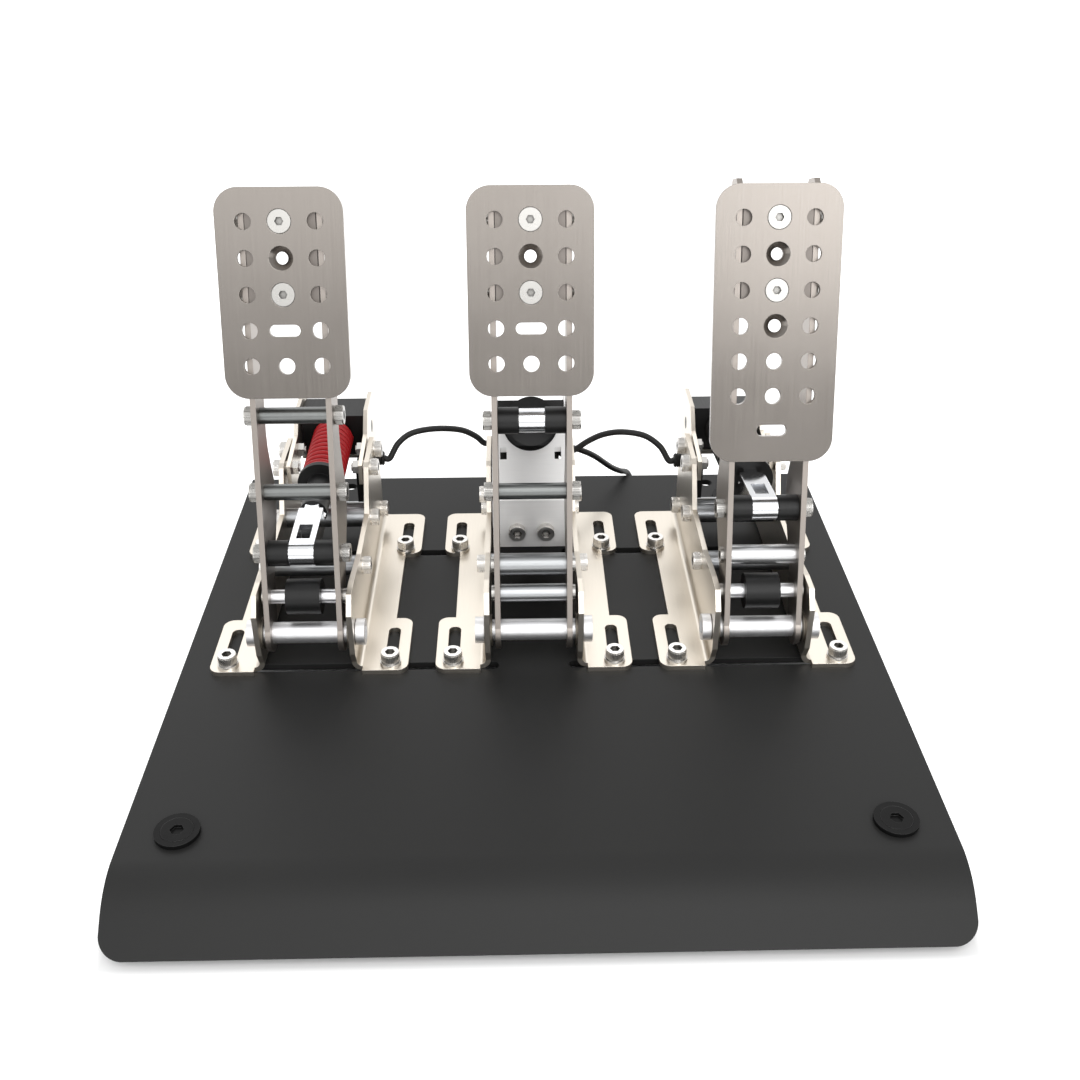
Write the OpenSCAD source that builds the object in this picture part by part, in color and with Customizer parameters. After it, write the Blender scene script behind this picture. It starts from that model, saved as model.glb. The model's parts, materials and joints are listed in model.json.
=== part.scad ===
// Sim racing pedal set: three pedals on one bent base plate.
// X is right, Y is away from the driver, Z is up. Millimetres.
// The origin is at floor level, under the middle of the base plate.

/* [Base plate] */
// width of the base plate
base_w = 400; // [390:1:420]
// flat length of the base plate behind the rolled front lip
base_flat = 365; // [360:1:372]
// thickness of the base plate
plate_t = 4; // [3:0.5:5]
// height of the top of the plate above the floor
plate_z = 28; // [26:0.5:32]
// outer radius of the rolled front lip
lip_r = 40; // [36:1:44]
// angle the front lip is rolled through
lip_angle = 42; // [38:1:45]
// straight part of the front lip
lip_flat = 18; // [15:1:20]
// corner radius of the front lip
lip_corner = 12; // [8:1:14]
// sideways distance of the foot bolts from the middle
bolt_x = 173; // [165:1:180]
// distance of the front foot bolts in front of the middle
bolt_front = 146; // [140:1:150]
// diameter of the foot bolt washers
washer_d = 22; // [20:0.5:24]
// sideways spacing of the two open rig holes at the back
rig_pitch = 255; // [240:1:262]
// diameter of the open rig holes
rig_hole_d = 8.5; // [6.5:0.5:9]

/* [Pedal frames] */
// distance between neighbouring pedals
pedal_pitch = 127.5; // [124:0.5:128]
// half of the clear width between the two cheeks
cheek_in = 24.5; // [24.4:0.1:25]
// thickness of the cheek sheet
cheek_t = 3; // [2.5:0.1:3.2]
// half width over the foot lugs
foot_half = 56; // [55:0.5:58]
// width of the slots in the foot lugs
foot_slot_w = 7; // [6.6:0.1:7.5]
// length of the slots in the foot lugs
foot_slot_len = 37; // [34:1:38]
// distance of the foot slots from the middle of the pedal
foot_slot_x = 46; // [45.5:0.5:46.5]
// height of the pedal axle above the plate
axle_z = 22; // [21:0.5:23]
// diameter of the pedal axle
axle_d = 12; // [11:0.5:12.4]

/* [Arms and faces] */
// lean of the arms at rest
lean = 18; // [17.5:0.1:18.5]
// half of the clear width between the arm plates
arm_in = 18.5; // [18.2:0.1:18.6]
// thickness of the arm plates
arm_t = 3; // [2.5:0.1:3.1]
// length of the arms above the axle
arm_len = 240; // [238:0.5:242]
// width of the pedal faces
face_w = 65.5; // [64:0.5:67]
// thickness of the pedal faces
face_t = 3; // [2.5:0.1:4]
// corner radius of the pedal faces
face_r = 12.5; // [10:0.5:14]
// spacing of the holes in the faces
hole_pitch = 18.3; // [18.1:0.1:18.5]
// diameter of the plain holes in the faces
hole_d = 8.4; // [8:0.1:8.8]

/* [Linkage] */
// distance of the clutch and throttle pivots behind the middle of the base
spring_pivot_y = 153; // [152:0.5:154]
// height of the clutch and throttle pivots above the plate
spring_pivot_z = 67; // [66.5:0.5:68]
// distance of the brake pivot behind the middle of the base
brake_pivot_y = 112; // [111:0.5:113]
// height of the brake pivot above the plate
brake_pivot_z = 88; // [87:0.5:89]
// diameter of the push rods
rod_d = 8; // [7:0.5:8]
// bore of the rear block around the push rod
block_bore = 11; // [10.8:0.1:12]
// outer diameter of the coil springs
spring_d = 26; // [25:0.5:27]
// wire diameter of the coil springs
wire_d = 3; // [2.5:0.1:3.2]
// turns of the clutch spring
clutch_turns = 12; // [10:1:12]
// turns of the throttle spring
throttle_turns = 14; // [12:1:14]
// diameter of the brake elastomers
elastomer_d = 27; // [25:0.5:28]

/* [Leads] */
// diameter of the black leads
lead_d = 4; // [3.5:0.1:4.2]

/* [Hidden] */
$fn = 48;
px = [-pedal_pitch, 0, pedal_pitch];
CLUTCH = 0;
BRAKE = 1;
THROTTLE = 2;
axle_y = -15;
foot_y0 = -26;
foot_y1 = 146;
lug_len = 50;
flange_x = 46;
bend_in = 3;
bend_out = bend_in + cheek_t;
cheek_out = cheek_in + cheek_t;
arm_out = arm_in + arm_t;
back_y = (base_flat + lip_r * sin(lip_angle) + lip_flat * cos(lip_angle)) / 2;
flat_y0 = back_y - base_flat;
slot_front_y = foot_y0 + 7;
slot_rear_y = foot_y0 + 127;
plate_slot_w = 6.6;
// the plate's slots run on past the inner and the outer clamp screws by these lengths
slot_spare_in = 26;
slot_spare_out = 6;
plate_slot_in = foot_slot_x - slot_spare_in;
plate_slot_out = pedal_pitch + foot_slot_x + slot_spare_out;
screw_d = 6;
head_d = 10;
head_h = 6;

// distance up the arm of the link pin, the face and the cross bars, per pedal
pin_s = [46, 118.5, 68.5];
face_top = 240.2;
face_len = [107, 107, 143.4];
bar_s = [[80.5, 122.5], [79.5, 38, 21.5], [42]];
bar_d = [[9, 9], [9, 12, 10], [11]];
low_s = 21;
low_d = 8;
sleeve_d = 14.5;
low_sleeve_w = 19;
face_back = -10.5;
arm_eye_d = 21.2;
// how far the arms of each pedal stand above arm_len
arm_rise = [0, 0, 3];

// link pins and rear pivots in the plane of each pedal, above the plate
function pin_y(i) = axle_y + pin_s[i] * sin(lean);
function pin_z(i) = axle_z + pin_s[i] * cos(lean);
function pivot_y(i) = i == BRAKE ? brake_pivot_y : spring_pivot_y;
function pivot_z(i) = i == BRAKE ? brake_pivot_z : spring_pivot_z;
function rod_len(i) = norm([pivot_y(i) - pin_y(i), pivot_z(i) - pin_z(i)]);
function rod_slope(i) = atan2(pivot_z(i) - pin_z(i), pivot_y(i) - pin_y(i));

link_w = 14;
link_h = 13;
// end of the link behind its pin, and the window in it, per pedal
link_tail = [38, 25, 38];
link_window = [[5, 20], [8.5, 19.5], [5, 20]];
nut_h = 5;
// thickness of the spring seat, and the tube that sets it back on the rod, per pedal
seat_h = 3.5;
seat_tube = [33, 0, 0];
function seat_from(i) = link_tail[i] + nut_h;
function spring_from(i) = seat_from(i) + seat_tube[i] + seat_h + 0.3;
block_half = 13;
block_h = 28;
block_w = 41;
function spring_to(i) = rod_len(i) - block_half - 0.3;
side_in = 20.8;
side_t = 2.6;
side_out = side_in + side_t;

module in_pedal(i) translate([px[i], 0, plate_z]) children();
module in_arm(i) in_pedal(i) translate([0, axle_y, axle_z]) rotate([-lean, 0, 0]) children();
module in_rod(i) in_pedal(i) translate([0, pin_y(i), pin_z(i)]) rotate([rod_slope(i), 0, 0]) children();
module in_block(i) in_pedal(i) translate([0, pivot_y(i), pivot_z(i)])
    rotate([rod_slope(i), 0, 0]) children();
module mirrored(side) { if (side > 0) children(); else mirror([1, 0, 0]) children(); }

// a plate drawn in Y and Z, standing from x0 to x1
module side_plate(x0, x1)
    translate([x0, 0, 0]) rotate([90, 0, 90]) linear_extrude(height = x1 - x0) children();
// a round bar along X between two stations
module bar_x(x0, x1, d) translate([x0, 0, 0]) rotate([0, 90, 0]) cylinder(h = x1 - x0, d = d);
// a round bar along Y
module bar_y(y0, y1, d) translate([0, y0, 0]) rotate([-90, 0, 0]) cylinder(h = y1 - y0, d = d);
// a hexagon prism along +X from x0
module hex_x(x0, h, flats)
    translate([x0, 0, 0]) rotate([0, 90, 0]) cylinder(h = h, d = flats / cos(30), $fn = 6);
// a cap screw head with its hex socket, standing out along +X from x0
module cap_head_x(x0, d, h) difference() {
    bar_x(x0, x0 + h, d);
    hex_x(x0 + h * 0.45, h, d * 0.5);
}
// a rectangle plate with round corners in X and Z, thickness along Y from y0
module round_plate(w, z0, z1, r, y0, t) {
    translate([-w / 2 + r, y0, z0]) cube([w - 2 * r, t, z1 - z0]);
    translate([-w / 2, y0, z0 + r]) cube([w, t, z1 - z0 - 2 * r]);
    for (x = [-w / 2 + r, w / 2 - r], z = [z0 + r, z1 - r])
        translate([x, y0, z]) rotate([-90, 0, 0]) cylinder(h = t, r = r);
}
// a rectangle plate with round corners in X and Y, standing on z0
module round_slab(x0, x1, y0, y1, r, z0, t) {
    translate([x0 + r, y0, z0]) cube([x1 - x0 - 2 * r, y1 - y0, t]);
    translate([x0, y0 + r, z0]) cube([x1 - x0, y1 - y0 - 2 * r, t]);
    for (x = [x0 + r, x1 - r], y = [y0 + r, y1 - r]) translate([x, y, z0]) cylinder(h = t, r = r);
}
// a straight slot along Y through a horizontal sheet
module slot_y(x, y0, y1, w, z0, h) {
    translate([x - w / 2, y0 + w / 2, z0]) cube([w, y1 - y0 - w, h]);
    for (y = [y0 + w / 2, y1 - w / 2]) translate([x, y, z0]) cylinder(h = h, d = w);
}
// a straight slot along X through a horizontal sheet
module slot_x(x0, x1, y, w, z0, h) {
    translate([x0 + w / 2, y - w / 2, z0]) cube([x1 - x0 - w, w, h]);
    for (x = [x0 + w / 2, x1 - w / 2]) translate([x, y, z0]) cylinder(h = h, d = w);
}

// swept tubes: rings are lists of points, joined by triangles and closed at both ends
function flat_list(lists) = [for (one = lists) for (p = one) p];
function tube_faces(rings, sides) = concat(
    [for (k = [1 : sides - 2]) [0, k, k + 1]],
    [for (r = [0 : rings - 2], k = [0 : sides - 1])
        [r * sides + k, (r + 1) * sides + k, (r + 1) * sides + (k + 1) % sides]],
    [for (r = [0 : rings - 2], k = [0 : sides - 1])
        [r * sides + k, (r + 1) * sides + (k + 1) % sides, r * sides + (k + 1) % sides]],
    [for (k = [1 : sides - 2]) [(rings - 1) * sides, (rings - 1) * sides + k + 1, (rings - 1) * sides + k]]);
module tube(rings, sides)
    polyhedron(points = flat_list(rings), faces = tube_faces(len(rings), sides), convexity = 10);

function unit(v) = v / norm(v);
// a coil spring along Y: each end of the wire runs straight into its seat, with the turns between
spring_sides = 6;
rings_per_turn = 8;
spring_r = spring_d / 2 - wire_d / 2;
function coil_at(t, turns, y0, y1) =
    [spring_r * cos(360 * t), y0 + (y1 - y0) * t / turns, spring_r * sin(360 * t)];
function spring_path(turns, y0, y1) = concat(
    [[spring_r, y0, 0]],
    [for (n = [0 : turns * rings_per_turn])
        coil_at(n / rings_per_turn, turns, y0 + wire_d, y1 - wire_d)],
    [[spring_r, y1, 0]]);
function spring_out(n, count) =
    let (t = 360 * min(max(n - 1, 0), count - 3) / rings_per_turn) [cos(t), 0, sin(t)];
function spring_dir(p, n) = n == 0 || n == len(p) - 1
    ? [0, 1, 0] : unit(unit(p[n + 1] - p[n]) + unit(p[n] - p[n - 1]));
function spring_ring(p, n) = let (
        d = spring_dir(p, n), o = spring_out(n, len(p)), side = unit(cross(d, o)), out = cross(side, d))
    [for (k = [0 : spring_sides - 1]) p[n] + wire_d / 2 * (cos(60 * k) * out + sin(60 * k) * side)];
module coil_spring(turns, y0, y1) {
    path = spring_path(turns, y0, y1);
    tube([for (n = [0 : len(path) - 1]) spring_ring(path, n)], spring_sides);
}
// least gap of a spring's wire to itself, measured between points at least half a turn apart
function least_gap(path) = min([for (n = [0 : len(path) - 1], m = [n + 4 : 1 : len(path) - 1])
    norm(path[n] - path[m])]) - wire_d;

// a lead along round points, with rings square to its path and square ends
lead_sides = 8;
function lead_dir(p, n, d0, d1) = n == 0 ? d0 : n == len(p) - 1 ? d1 : unit(p[n + 1] - p[n - 1]);
function lead_ring(p, n, d0, d1) = let (
        d = lead_dir(p, n, d0, d1), a = unit(cross(d, [0.3, 0.9, 0.2])), b = cross(a, d))
    [for (k = [0 : lead_sides - 1]) p[n] + lead_d / 2 * (cos(45 * k) * a + sin(45 * k) * b)];
module lead(p, d0, d1) tube([for (n = [0 : len(p) - 1]) lead_ring(p, n, d0, d1)], lead_sides);
// a smooth curve through the points of a route
function spline(a, b, c, d, t) = 0.5 * (2 * b + (c - a) * t + (2 * a - 5 * b + 4 * c - d) * t * t
    + (3 * b - a - 3 * c + d) * t * t * t);
function smooth(p, steps) = concat([for (n = [0 : len(p) - 2], k = [0 : steps - 1])
    spline(p[max(n - 1, 0)], p[n], p[n + 1], p[min(n + 2, len(p) - 1)], k / steps)], [p[len(p) - 1]]);
// stations of the parts of the frames, in Y and in height above the plate
bar_a = [32, 36];
bar_b = [84, 38];
bar_c = [132, 16];
cell_spacer = [104, 42];
bracket_screws = [[100, 65], [124, 65]];
sensor = [9, 20, 26];
sensor_at = [117, 30];
cell_x = 15;
cell_y0 = 62.2;
cell_y1 = 116;
cell_z = 42;
cell_h = 18;
cell_screw_x = 8.7;
cell_bore_y = [81, 92];
rear_bolt = [140, back_y - 33];
rig_hole_y = back_y - 12;
foot_h = plate_z - plate_t;
box_x = 20;
box_y0 = 152;
box_y1 = 182;
box_h = 56;
socket_x = [50, 84];
socket_y1 = back_y - 5;
socket_len = 22;
socket_h = 15;
face_rows = [2, 2, 3];
function face_mid(i) = face_top - face_len[i] / 2;
function row_s(i, r) = face_mid(i) + (face_rows[i] - r) * hole_pitch;
tab_z = [-18, 18];
function tab_mid(i) = row_s(i, 1);

// glands: how far they stand out of a cheek and of the control box, and where they sit
gland_d = 8;
cheek_gland_l = 5;
box_gland_l = 7;
cheek_gland_y = 134;
cheek_gland_z = [53, 0, 49];
box_gland_x = box_x + box_gland_l;
clutch_gland = [px[CLUTCH] + cheek_out + cheek_gland_l, cheek_gland_y, cheek_gland_z[CLUTCH]];
throttle_gland = [px[THROTTLE] - cheek_out - cheek_gland_l, cheek_gland_y, cheek_gland_z[THROTTLE]];
box_clutch_gland = [-box_gland_x, 158, 51];
box_throttle_gland = [box_gland_x, 156, 46];
box_usb_gland = [box_gland_x, 166, 42];
socket_gland = [76, socket_y1 + 3, -plate_t - 11];
// routes of the leads from gland to gland, in X, Y and height above the plate
clutch_route = [clutch_gland, clutch_gland + [3.5, 0, 0], [-86, 139, 61], [-77, 144, 66], [-62, 149, 66.5],
    [-46, 154, 63], [-36, 156.5, 57], box_clutch_gland + [-3.5, 0, 0], box_clutch_gland];
throttle_route = [throttle_gland, throttle_gland + [-3.5, 0, 0], [86, 139.5, 56.5], [76, 146, 61.3],
    [62, 150.5, 61.8], [50, 154, 58.5], [40, 155.5, 53],
    box_throttle_gland + [3.5, 0, 0], box_throttle_gland];
usb_route = [box_usb_gland, box_usb_gland + [4, 0, 0], [40, 170, 36.5], [47, 175, 30], [53, 181, 22.5],
    [59.5, 189, 14], [66, 197, 7], [72, back_y + 5, 0], [75.5, back_y + 8, -8.5],
    socket_gland + [0, 6, 1.2], socket_gland];

// base group

// points of the plate's section in Y and Z: the rolled lip at radius r, and the end of the lip
lip_steps = 24;
function lip_at(r, a) = [flat_y0 - r * sin(a), plate_z - lip_r + r * cos(a)];
function lip_end(r) = lip_at(r, lip_angle) - lip_flat * [cos(lip_angle), sin(lip_angle)];
plate_section = concat([[back_y, plate_z]],
    [for (k = [0 : lip_steps]) lip_at(lip_r, lip_angle * k / lip_steps)],
    [lip_end(lip_r), lip_end(lip_r - plate_t)],
    [for (k = [lip_steps : -1 : 0]) lip_at(lip_r - plate_t, lip_angle * k / lip_steps)],
    [[back_y, plate_z - plate_t]]);
// what is cut off to round a corner of the lip; the round laps over the edges it runs into
corner_lap = 0.05;
module lip_corner_cut(side) mirrored(side) translate([base_w / 2, flat_y0, plate_z - lip_r])
    rotate([lip_angle, 0, 0])
    translate([-lip_corner, lip_corner - lip_flat, lip_r - plate_t - 1]) difference() {
        translate([0, -lip_corner - 1, 0]) cube([lip_corner + 1, lip_corner + 1, plate_t + 2]);
        translate([corner_lap, -corner_lap, -1]) cylinder(h = plate_t + 4, r = lip_corner);
    }
module base_plate() color([0.18, 0.18, 0.18]) difference() {
    side_plate(-base_w / 2, base_w / 2) polygon(plate_section);
    for (side = [-1, 1]) lip_corner_cut(side);
    for (x = [-1, 1]) {
        translate([x * bolt_x, -bolt_front, plate_z - plate_t - 1]) cylinder(h = plate_t + 2, d = 8.6);
        translate([x * rear_bolt[0], rear_bolt[1], plate_z - plate_t - 1]) cylinder(h = plate_t + 2, d = 8.6);
        translate([x * rig_pitch / 2, rig_hole_y, plate_z - plate_t - 1])
            cylinder(h = plate_t + 2, d = rig_hole_d);
    }
    for (y = [slot_front_y, slot_rear_y]) {
        slot_x(-plate_slot_out, -plate_slot_in, y, plate_slot_w, plate_z - plate_t - 1, plate_t + 2);
        slot_x(plate_slot_in, plate_slot_out, y, plate_slot_w, plate_z - plate_t - 1, plate_t + 2);
    }
}

module base_bolt() {
    difference() {
        cylinder(h = 2.4, d = washer_d);
        translate([0, 0, -1]) cylinder(h = 3, d = 8.6);
        cylinder(h = 2.42, d1 = 9.4, d2 = 16.4);
    }
    difference() {
        union() {
            translate([0, 0, -15]) cylinder(h = 15.2, d = 8);
            translate([0, 0, 0.2]) cylinder(h = 2.2, d1 = 9, d2 = 15.8);
        }
        translate([0, 0, 0.8]) cylinder(h = 3, d = 6 / cos(30), $fn = 6);
    }
}
module foot_places() {
    for (x = [-1, 1]) {
        translate([x * bolt_x, -bolt_front, 0]) children();
        translate([x * rear_bolt[0], rear_bolt[1], 0]) children();
    }
}
module base_bolts() color([0.08, 0.08, 0.08]) translate([0, 0, plate_z]) foot_places() base_bolt();
module rubber_feet() color([0.1, 0.1, 0.1]) foot_places() difference() {
    cylinder(h = foot_h, d1 = 27, d2 = 33);
    translate([0, 0, foot_h - 14]) cylinder(h = 15, d = 8.8);
}

module clamp_screw() {
    translate([0, 0, cheek_t + 1.6]) difference() {
        cylinder(h = head_h, d = head_d);
        translate([0, 0, head_h * 0.45]) cylinder(h = head_h, d = 5 / cos(30), $fn = 6);
    }
    translate([0, 0, cheek_t]) cylinder(h = 1.6, d = 12);
    translate([0, 0, -plate_t - 9]) cylinder(h = plate_t + 9 + cheek_t + 0.5, d = screw_d);
    translate([0, 0, -plate_t - 1.6]) difference() {
        cylinder(h = 1.6, d = 12);
        translate([0, 0, -1]) cylinder(h = 4, d = screw_d + 0.2);
    }
    translate([0, 0, -plate_t - 6.8]) difference() {
        cylinder(h = 5, d = 10 / cos(30), $fn = 6);
        translate([0, 0, -1]) cylinder(h = 7, d = screw_d + 0.2);
    }
}
module clamp_screws() color([0.75, 0.75, 0.75])
    for (i = [0 : 2], x = [-1, 1], y = [slot_front_y, slot_rear_y])
        in_pedal(i) translate([x * foot_slot_x, y, 0]) clamp_screw();

module at_axle(i) in_pedal(i) translate([0, axle_y, axle_z]) children();
module axle_bush() difference() {
    union() {
        bar_x(cheek_in, cheek_out, 14);
        bar_x(cheek_in - 1.2, cheek_in, 18);
    }
    bar_x(cheek_in - 3, cheek_out + 1, axle_d + 0.1);
}
module axle_bushes() color([0.25, 0.25, 0.25])
    for (i = [0 : 2], side = [-1, 1]) at_axle(i) mirrored(side) axle_bush();

module frame_bar(p, d) translate([0, p[0], p[1]]) difference() {
    bar_x(-cheek_in, cheek_in, d);
    for (side = [-1, 1]) mirrored(side) bar_x(cheek_in - 12, cheek_in + 1, screw_d + 0.2);
}
module cheek_bars() color([0.75, 0.76, 0.78]) for (i = [0 : 2]) in_pedal(i) {
    frame_bar(bar_a, 12);
    frame_bar(bar_c, 10);
    if (i != BRAKE) frame_bar(bar_b, 12);
    if (i == BRAKE) for (side = [-1, 1])
        mirrored(side) translate([0, cell_spacer[0], cell_spacer[1]]) difference() {
            bar_x(cell_x, cheek_in, 11);
            bar_x(cell_x - 1, cheek_in + 1, screw_d + 0.2);
        }
}
module frame_screw(p, reach) translate([0, p[0], p[1]]) {
    cap_head_x(cheek_out, head_d, 5);
    bar_x(reach, cheek_out, screw_d);
}
module bracket_screw(p) translate([0, p[0], p[1]]) {
    cap_head_x(cheek_out, head_d, 5);
    bar_x(side_in - 5, cheek_out, 5);
    bar_x(side_out, cheek_in, 9);
    hex_x(side_in - 4, 4, 8);
}
module cheek_screws() color([0.8, 0.8, 0.8]) for (i = [0 : 2]) in_pedal(i) {
    for (side = [-1, 1]) mirrored(side) {
        frame_screw(bar_a, cheek_in - 11);
        frame_screw(bar_c, cheek_in - 11);
        if (i != BRAKE) frame_screw(bar_b, cheek_in - 11);
        if (i != BRAKE) for (p = bracket_screws) bracket_screw(p);
        if (i == BRAKE) frame_screw(cell_spacer, cell_x - 8);
    }
    if (i == BRAKE) for (x = [-cell_screw_x, cell_screw_x]) translate([x, 0, cell_z]) difference() {
        union() {
            bar_y(cell_y0 - side_t - 5, cell_y0 - side_t, head_d);
            bar_y(cell_y0 - side_t, cell_y0 + 12, screw_d);
        }
        translate([0, cell_y0 - side_t - 8, 0]) rotate([-90, 0, 0])
            cylinder(h = 5.6, d = 5 / cos(30), $fn = 6);
    }
}

module load_cell() color([0.78, 0.79, 0.8]) in_pedal(BRAKE) difference() {
    translate([-cell_x, cell_y0, cell_z - cell_h / 2]) cube([2 * cell_x, cell_y1 - cell_y0, cell_h]);
    for (y = cell_bore_y) translate([0, y, cell_z]) bar_x(-cell_x - 1, cell_x + 1, 9);
    translate([-cell_x - 1, cell_bore_y[0], cell_z - 1.5])
        cube([2 * cell_x + 2, cell_bore_y[1] - cell_bore_y[0], 3]);
    for (x = [-cell_screw_x, cell_screw_x])
        translate([x, 0, cell_z]) bar_y(cell_y0 - 1, cell_y0 + 13, screw_d + 0.2);
    for (side = [-1, 1]) mirrored(side) translate([0, cell_spacer[0], cell_spacer[1]])
        bar_x(cell_x - 9, cell_x + 1, screw_d + 0.2);
}

module position_sensors() color([0.1, 0.1, 0.1]) {
    in_pedal(CLUTCH) translate([cheek_in - sensor[0], sensor_at[0], sensor_at[1]]) cube(sensor);
    in_pedal(THROTTLE) translate([-cheek_in, sensor_at[0], sensor_at[1]]) cube(sensor);
}
module control_box() color([0.1, 0.1, 0.1]) translate([0, 0, plate_z]) difference() {
    round_slab(-box_x, box_x, box_y0, box_y1, 4, 0, box_h);
    for (x = [-box_x + 6, box_x - 6]) translate([x, (box_y0 + box_y1) / 2, box_h - 2]) cylinder(h = 3, d = 5);
}
module usb_socket() color([0.1, 0.1, 0.1]) translate([0, socket_y1, foot_h]) difference() {
    translate([socket_x[0], -socket_len, -socket_h])
        cube([socket_x[1] - socket_x[0], socket_len, socket_h]);
    translate([socket_x[0] + 4, -10, 2 - socket_h]) cube([12.2, 11, 11]);
}
// a gland along X from a wall at x to its open end
module gland_from(x, end) translate([0, end[1], end[2]])
    bar_x(min(x, end[0]), max(x, end[0]), gland_d);
module lead_glands() color([0.1, 0.1, 0.1]) translate([0, 0, plate_z]) {
    gland_from(px[CLUTCH] + cheek_out, clutch_gland);
    gland_from(px[THROTTLE] - cheek_out, throttle_gland);
    gland_from(-box_x, box_clutch_gland);
    gland_from(box_x, box_throttle_gland);
    gland_from(box_x, box_usb_gland);
    translate([socket_gland[0], 0, socket_gland[2]]) bar_y(socket_y1, socket_gland[1], 7);
}
module lead_along(route, d0, d1)
    color([0.06, 0.06, 0.06]) translate([0, 0, plate_z]) lead(smooth(route, 3), d0, d1);
module clutch_lead() lead_along(clutch_route, [1, 0, 0], [1, 0, 0]);
module throttle_lead() lead_along(throttle_route, [-1, 0, 0], [-1, 0, 0]);
module usb_lead() lead_along(usb_route, [1, 0, 0], [0, -1, 0]);

// frames

module cheek(i, side) color([0.82, 0.8, 0.76]) in_pedal(i) mirrored(side) difference() {
    union() {
        side_plate(cheek_in, cheek_out) polygon([[-22, bend_out], [-26, 14], [-26, 40], [-19, 50], [-6, 50],
            [30, 45], [76, 45], [90, 70], [93, 72], [127, 72], [132, 68], [146, 44], [146, bend_out]]);
        translate([cheek_out + bend_in, -22, bend_out]) rotate([-90, 0, 0]) rotate([0, 0, 90])
            rotate_extrude(angle = 90) translate([bend_in, 0]) square([cheek_t, foot_y1 + 22]);
        translate([cheek_out + bend_in, foot_y0, 0])
            cube([flange_x - cheek_out - bend_in, foot_y1 - foot_y0, cheek_t]);
        for (y = [foot_y0, foot_y1 - lug_len])
            round_slab(flange_x - 14, foot_half, y, y + lug_len, 6, 0, cheek_t);
    }
    for (y = [slot_front_y, slot_rear_y])
        slot_y(foot_slot_x, y - foot_slot_w / 2, y - foot_slot_w / 2 + foot_slot_len, foot_slot_w,
            -1, cheek_t + 2);
    translate([0, axle_y, axle_z]) bar_x(cheek_in - 1, cheek_out + 1, 14.1);
    for (p = i == BRAKE ? [bar_a, bar_c, cell_spacer] : [bar_a, bar_b, bar_c])
        translate([0, p[0], p[1]]) bar_x(cheek_in - 1, cheek_out + 1, screw_d + 0.3);
    if (i != BRAKE) for (p = bracket_screws)
        translate([0, p[0], p[1]]) bar_x(cheek_in - 1, cheek_out + 1, 5.3);
}
module bracket_sides(points) for (side = [-1, 1])
    mirrored(side) side_plate(side_in, side_out) polygon(points);
// two plates with a low front end that is screwed to the cheeks and ears round the pivot, and a web below
module rear_bracket(i) color([0.82, 0.81, 0.78]) in_pedal(i) difference() {
    y = pivot_y(i);
    z = pivot_z(i);
    union() {
        bracket_sides([[92, 57], [y - 8, 57], [y - 5, z - 21], [y + 13, z - 21], [y + 19, z - 15],
            [y + 19, z + 13], [y + 13, z + 19], [y - 15, z + 19], [y - 26, z + 7], [92, 70]]);
        translate([-side_out, y - 5, z - 21]) cube([2 * side_out, 18, side_t]);
    }
    translate([0, y, z]) bar_x(-30, 30, 8.1);
    for (p = bracket_screws) translate([0, p[0], p[1]]) bar_x(-30, 30, 5.3);
}
module brake_bracket() color([0.88, 0.88, 0.87]) in_pedal(BRAKE) difference() {
    union() {
        bracket_sides([[64, 60], [132, 60], [132, 86], [124, 106], [104, 106], [95, 89], [64, 62.6]]);
        side_plate(-side_out, side_out) polygon([[cell_y0 - side_t, 30], [cell_y0, 30], [cell_y0, 61.4],
            [95.4, 89.4], [93.7, 91.4], [cell_y0 - side_t, 62.6]]);
    }
    translate([0, pivot_y(BRAKE), pivot_z(BRAKE)]) bar_x(-30, 30, 8.1);
    translate([0, pin_y(BRAKE), pin_z(BRAKE)]) rotate([rod_slope(BRAKE), 0, 0]) bar_y(50, 88, 34);
    for (x = [-cell_screw_x, cell_screw_x]) translate([x, 0, cell_z]) bar_y(50, 70, screw_d + 0.3);
    for (x = [-18.5, 14.5]) translate([x, 80, 70]) cube([4, 6, 20]);
}
module rear_block(i) color([0.07, 0.07, 0.07]) in_block(i) difference() {
    union() {
        translate([-block_w / 2, -block_half, -block_h / 2]) cube([block_w, 2 * block_half, block_h]);
        bar_x(-side_out, side_out, 8);
    }
    bar_y(-block_half - 1, block_half + 1, block_bore);
}

// arms

function arm_points(top) = [[-10, 0], [-10, top - 4], [-6, top], [6, top], [12, top - 8], [12, 112],
    [14, 103], [19, 93], [26, 82], [28, 74], [27, 62], [19, 46], [12, 32], [10, 0]];
function arm_holes(i) = concat([pin_s[i]], bar_s[i], i == BRAKE ? [] : [low_s]);
module arm(i, side) color([0.62, 0.6, 0.57]) in_arm(i) mirrored(side) difference() {
    union() {
        side_plate(arm_in, arm_out) polygon(arm_points(arm_len + arm_rise[i]));
        bar_x(arm_in, arm_out, arm_eye_d);
    }
    bar_x(arm_in - 1, arm_out + 1, axle_d + 0.1);
    for (s = arm_holes(i)) translate([0, 0, s]) bar_x(arm_in - 1, arm_out + 1, screw_d + 0.3);
    for (z = tab_z) translate([0, 2, tab_mid(i) + z]) bar_x(arm_in - 1, arm_out + 1, 5.3);
}
module axle(i) color([0.8, 0.8, 0.82]) in_arm(i) {
    bar_x(-cheek_out - 0.4, cheek_out + 0.4, axle_d);
    for (side = [-1, 1]) mirrored(side) cap_head_x(cheek_out + 0.4, 15, 5);
}
module arm_bar(s, d) translate([0, 0, s]) difference() {
    bar_x(-arm_in, arm_in, d);
    for (side = [-1, 1]) mirrored(side) bar_x(arm_in - 11, arm_in + 1, (d < 9 ? 4 : screw_d) + 0.2);
}
module arm_bars(i) color([0.74, 0.75, 0.77]) in_arm(i) {
    for (n = [0 : len(bar_s[i]) - 1]) arm_bar(bar_s[i][n], bar_d[i][n]);
    if (i != BRAKE) arm_bar(low_s, low_d);
}
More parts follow.
